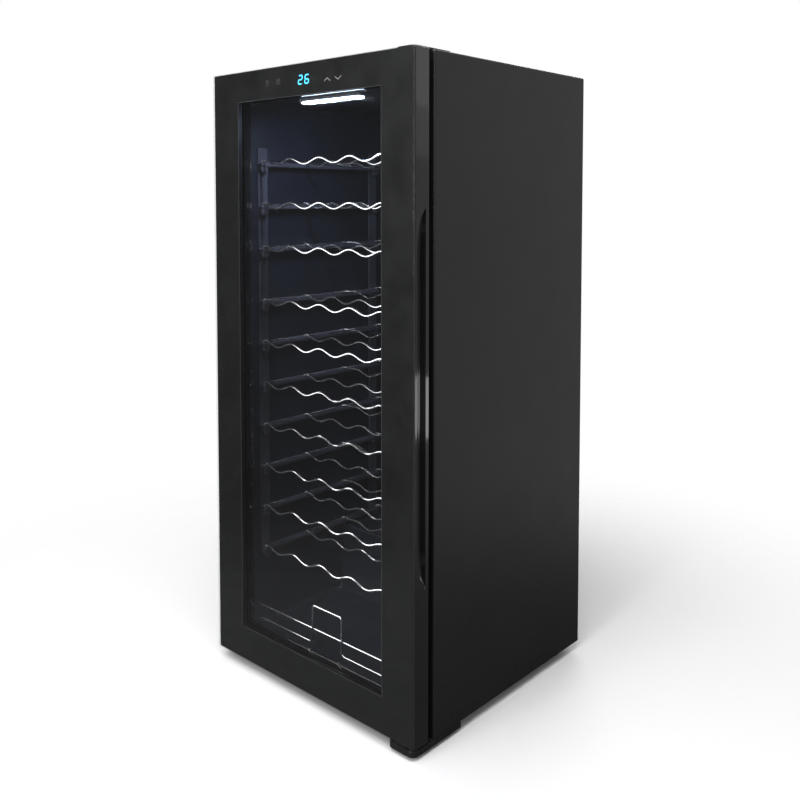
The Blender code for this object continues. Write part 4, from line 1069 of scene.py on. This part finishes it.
def hinge_pins():
    """Turned pins with a chamfer at both ends."""
    chamfer = 0.0006
    for node in ("lower_hinge_pin", "upper_hinge_pin"):
        low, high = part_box(node)
        radius = (high.x - low.x) / 2
        profile = [
            (0, low.z), (radius - chamfer, low.z), (radius, low.z + chamfer), (radius, high.z - chamfer),
            (radius - chamfer, high.z), (0, high.z),
        ]
        piece(f"{node}_steel", [turned(profile, middle_of(node), steps=32)], "hinge_pin", replaces=node)


def upper_hinge():
    """Steel plate on the cabinet's top with a rounded nose over the door."""
    low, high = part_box("upper_hinge_plate")
    shell = hinge_plate("upper_hinge_plate", 0.010, [
        (low.z, 0.0003), (low.z + 0.0004, 0), (high.z - 0.0008, 0), (high.z - 0.0002, 0.0003),
        (high.z, 0.0010),
    ])
    piece("hinge_plate", [shell], "hinge_paint", replaces="upper_hinge_plate")


def feet():
    """Screw feet: a pad with a ribbed rim, a dished shoulder and a threaded stem."""
    rim, rib_depth, thread_pitch, crest, root = 0.018, 0.012, 0.0013, 0.0040, 0.00345
    pad = [
        (0, 0), (0.0150, 0), (0.0172, 0.0006), (rim, 0.0016), (rim, 0.0044), (0.0172, 0.0052),
        (0.0100, 0.0066), (0.0060, 0.0071), (0, 0.0072),
    ]
    for name in sorted(node for node in frame["nodes"] if node.startswith("foot_")):
        low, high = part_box(name)
        spot = middle_of(name)
        share = (high.x - low.x) / 2 / rim / (1 + rib_depth)
        shells = [turned([(r * share, z) for r, z in pad], spot, steps=96, ribs=32, rib_depth=rib_depth)]
        turns = np.arange(0.0071, high.z - 0.0002, thread_pitch / 2)
        thread = [(0, 0.0070)] + [(crest if k % 2 else root, z) for k, z in enumerate(turns)] + [(0, high.z)]
        shells.append(turned(thread, spot, steps=24))
        piece(f"{name}_pad", shells, "foot_plastic", f"{name}_body", name)


def screw(centre, facing, radius=0.0032):
    """Pan head on a polar grid: a dome R (1 - s^2)^0.5 high, with a cross sunk into its middle. Facing is
    the axis (1, 2 or 3) that it looks along, with a sign."""
    axis, sign = abs(facing) - 1, 1 if facing > 0 else -1
    share = np.linspace(0.02, 1, 12)[::-1][:, None]
    turn = full_turn(32)[None, :]
    u, v = share * np.cos(turn), share * np.sin(turn)
    dome = 0.62 * radius * np.sqrt(np.clip(1.02 - share**2, 0, 1))
    near = np.minimum(np.abs(u), np.abs(v))
    sunk = 0.40 * radius * (np.clip((0.13 - near) / 0.05, 0, 1) * np.clip((0.58 - share) / 0.1, 0, 1))
    rings = np.empty((12, 32, 3))
    rings[..., (axis + 1) % 3] = radius * u
    rings[..., (axis + 2) % 3] = radius * v
    rings[..., axis] = sign * (dome - sunk)
    base = rings[:1].copy()
    base[..., axis] = -sign * 0.0004
    return loft(np.concatenate((base, rings)) + np.asarray(centre, float))


def screws():
    """Screws of the back panel, the duct cover and the compressor's foot plate, each group one piece."""
    low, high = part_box("back_panel")
    side = high.x - 0.006
    heights = np.linspace(low.z + 0.03, high.z - 0.02, 6)
    back = [screw((x, high.y + 0.0001, z), 2) for z in heights for x in (-side, side)]
    piece("back_panel_screws", back, "screw_steel", slot="zinc_steel")
    low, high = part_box("air_duct_cover")
    spots = [(x, low.y + 0.0002, z) for x in (-0.155, 0.155) for z in (low.z + 0.02, high.z - 0.02)]
    piece("duct_cover_screws", [screw(spot, -2, 0.0036) for spot in spots], "duct_plastic")
    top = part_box("compressor_plate")[1].z + 0.0001
    spots = [middle_of(f"compressor_grommet_{n}")[:2] + (top,) for n in range(1, 5)]
    piece("compressor_bolts", [screw(spot, 3, 0.0042) for spot in spots], "screw_steel", slot="zinc_steel")


# ---------------------------------------------------------------- machine bay and back


def compressor():
    """Two drawn shells welded together: a turned profile with a bead at the seam and a domed lid. It stands
    on four grommets, whose rims swell as 0.80 + 0.20 |cos| of their height."""
    low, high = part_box("compressor")
    tall, shoulder = 0.110, 0.066
    foot_round = arc((0.050, 0.012), 0.012, -90, 0)
    seam = arc((0.0635, 0.052), 0.0023, -60, 60, 5)
    dome = [
        (0.0615 * math.cos(a) ** 0.8, shoulder + (tall - shoulder) * math.sin(a))
        for a in np.linspace(0, QUARTER, 14)[:-1]
    ]
    below, above = [(0.0625, 0.048)], [(0.0625, 0.057)]
    profile = np.concatenate(([(0, 0)], foot_round, below, seam, above, dome, [(0, tall)]))
    profile = profile * ((high.x - low.x) / 2 / profile[:, 0].max(), (high.z - low.z) / tall)
    x, y, _ = middle_of("compressor")
    shell = turned(profile, (x, y, low.z), steps=72)
    piece("compressor_shell", [shell], "compressor_paint", replaces="compressor")
    for n in range(1, 5):
        node = f"compressor_grommet_{n}"
        low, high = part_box(node)
        share = np.linspace(0, 1, 17)
        rim = (high.x - low.x) / 2 * (0.80 + 0.20 * np.abs(np.cos(2 * math.pi * share)))
        wave = np.column_stack((rim, low.z + (high.z - low.z) * share))
        profile = np.concatenate(([(0, low.z)], wave, [(0, high.z)]))
        piece(f"grommet_{n}", [turned(profile, middle_of(node))], "grommet_rubber", replaces=node)


def condenser():
    """Serpentine tube bent to and fro across the back, and thin upright wires welded on both its faces."""
    low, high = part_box("condenser_coil")
    y = high.y - COIL_RADIUS
    half, bottom, rise, runs = 0.235, 0.300, 0.062, 14
    last = bottom + rise * (runs - 1)
    turn = np.radians(np.linspace(-90, 90, 13))
    bends = []
    for k in range(runs - 1):
        side = 1 if k % 2 == 0 else -1
        x = side * (half - rise / 2 + rise / 2 * np.cos(turn))
        z = bottom + rise * (k + 0.5) + rise / 2 * np.sin(turn)
        bends.append(np.stack((x, np.full_like(x, y), z), -1))
    serpentine = np.concatenate(([(-half + rise / 2, y, bottom)], *bends, [(-half + 0.004, y, last)]))
    x, set_in = low.x + COIL_RADIUS, y - 0.006
    tail = [
        (-half + 0.004, y, last), (x, y, last), (x, y, 0.200), (-0.128, y, 0.200), (-0.100, set_in, 0.197),
        (-0.100, set_in, 0.1705),
    ]
    route = np.concatenate((serpentine, bent_path(tail, PIPE_BEND)[1:]))
    more = {"finish": "black_steel", "slot": "back_paint"}
    piece("condenser_tube", [tube(route, COIL_RADIUS, 10)], replaces="condenser_coil", **more)
    wire, overhang, offset = 0.0007, 0.02, 0.0031
    heights = (bottom - overhang, 0.7, last + overhang)
    wires = [
        tube([(x, y + side * offset, z) for z in heights], wire, 6)
        for x in np.linspace(-0.203, 0.203, 38) for side in (-1, 1)
    ]
    piece("condenser_wires", wires, **more)


def pipes():
    """Copper lines of the compressor, as round tube on smooth bends, and the drier in their way."""
    radius = 0.003
    coil_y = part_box("condenser_coil")[1].y - COIL_RADIUS
    x, y = 0.070, 0.193
    discharge = [
        (x - 0.0665, y + 0.010, 0.075), (x - 0.090, y + 0.020, 0.075), (x - 0.105, y + 0.040, 0.090),
        (x - 0.105, coil_y - 0.012, 0.130), (x - 0.110, coil_y - 0.002, 0.210), (x - 0.130, coil_y, 0.240),
        (-0.215, coil_y, 0.255), (-0.233, coil_y, 0.270), (-0.231, coil_y, 0.292), (-0.221, coil_y, 0.300),
        (-0.2043, coil_y, 0.300),
    ]
    suction = [
        (x - 0.0665, y - 0.014, 0.085), (x - 0.100, y - 0.030, 0.085), (x - 0.125, y - 0.036, 0.100),
        (x - 0.130, y - 0.036, 0.178),
    ]
    for name, route in (("discharge_line", discharge), ("suction_line", suction)):
        piece(f"{name}_pipe", [tube(bent_path(route, PIPE_BEND), radius, 14)], "copper_pipe", replaces=name)
    low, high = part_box("filter_drier")
    size = ((high.x - low.x) / 2, high.z - low.z)
    profile = np.array([
        (0, 0), (0.38, 0), (0.40, 0.05), (0.95, 0.15), (1, 0.19), (1, 0.81), (0.95, 0.85), (0.40, 0.95),
        (0.38, 1), (0, 1),
    ]) * size
    x, y, _ = middle_of("filter_drier")
    piece("filter_drier_capsule", [turned(profile, (x, y, low.z))], "copper_pipe", replaces="filter_drier")


def inlet_pins():
    """Three flat blades in the mains inlet."""
    low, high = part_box("mains_inlet")
    middle = (low + high) / 2
    half_thick, half_tall = 0.001, 0.002
    blades = []
    for dx, dz in ((-0.0070, -0.002), (0.0, 0.003), (0.0070, -0.002)):
        x, z = middle.x + dx, middle.z + dz
        first = (x - half_thick, low.y + 0.0028, z - half_tall)
        blades.append(rounded_block(first, (x + half_thick, high.y - 0.002, z + half_tall), 0.0004, axis=1))
    piece("inlet_blades", blades, "screw_steel", slot="zinc_steel")


# ---------------------------------------------------------------- putting it together


# Node, slot, and how far its edges are rounded
PRESSED = (
    ("base_pan", "cabinet_paint", 0.0005), ("bay_divider", "zinc_steel", 0.0005),
    ("back_panel", "back_paint", 0.0005), ("air_duct_cover", "duct_plastic", 0.0007),
    ("evaporator_fan_frame", "fan_plastic", 0.0006), ("condenser_bracket_left", "zinc_steel", 0.0006),
    ("condenser_bracket_right", "zinc_steel", 0.0006), ("compressor_plate", "zinc_steel", 0.0006),
    ("relay_box", "relay_plastic", 0.0006), ("drip_tray", "tray_plastic", 0.0006),
    ("power_box", "relay_plastic", 0.0006), ("mains_inlet", "relay_plastic", 0.0006),
    ("lower_hinge_bush", "bush_plastic", 0.0006), ("upper_hinge_bush", "bush_plastic", 0.0006),
)


def finish_remaining():
    """Pressed and moulded parts keep their shape, with softened edges; sealed inner parts keep their mesh."""
    for row in PRESSED:
        softened(*row)
    for node, slot in (("insulation_foam", "foam"), ("evaporator", "fin_aluminium")):
        slots = frame["nodes"][node].data.materials
        slots.clear()
        slots.append(finishes[slot])


def reflection_cards():
    """Cards that only some pieces see. Two stand high beside the door; a low band of five stands round the
    right-hand grip, each turned by an eighth of a circle from the last; one lights the wires from the front.
    A card's power is its radiance times pi times its area."""
    door_side = ("door_surround", "grip_right_scoop", "grip_left_scoop")
    door_x, card_x, card_y, width = 0.29, 1.6, 1.1, 1.6
    for name, low_z, high_z, radiance in (
        ("side_card_low", 1.20, 1.40, 0.22), ("side_card_top", 1.40, 1.80, 0.5),
    ):
        height, z = high_z - low_z, (low_z + high_z) / 2
        power = radiance * math.pi * width * height
        soft_light(name, (card_x, card_y, z), (door_x, card_y, z), (width, height), power, only_on=door_side)
    grip, distance, first_turn = Vector((0.28, -0.26, 0.302)), 1.5, 49.5
    width, height, radiance = 1.24, 0.216, 2.6
    for n in range(5):
        turn = math.radians(first_turn - 45 * n)
        place = grip + distance * Vector((math.cos(turn), math.sin(turn), 0))
        power = radiance * math.pi * width * height
        soft_light(f"grip_card_{n + 1}", place, grip, (width, height), power, only_on=door_side)
    wires = [f"wave_shelf_{n}" for n in SHELVES] + ["bottle_rail"]
    soft_light("wire_card", (-2.2, -1.9, 0.3), (0, 0, 0.3), (3.0, 4.4), 190, only_on=wires)


# Name, place, target, size, power and colour
LIGHTS = (
    ("overhead_light", (0.4, -1.4, 3.2), (0, 0, 0.6), (2.6, 2.6), 90),
    ("front_light", (0.2, -3.4, 1.5), (0, 0, 0.7), (1.5, 1.9), 70),
    ("rear_light", (-1.5, 3.4, 2.2), (0, 0, 0.6), (2.0, 2.0), 60),
    ("lamp_light", (0, -0.202, 1.2190), (0, 0.04, 0.2), (0.16, 0.016), 2.2, (0.58, 0.72, 1.0)),
)


def main():
    place_camera()
    studio_world()
    studio_floor()
    bpy.context.scene.view_settings.view_transform = "Standard"
    for light in LIGHTS:
        soft_light(*light)
    make_finishes()
    for build in (
        cabinet_wrap, liner, shelf_supports, shelves, bottle_guard, lamp, fan, door_frame, grips, glazing,
        gasket, display, lower_hinge, hinge_pins, upper_hinge, screws, compressor, condenser, pipes,
        inlet_pins, finish_remaining, feet, reflection_cards,
    ):
        build()


main()
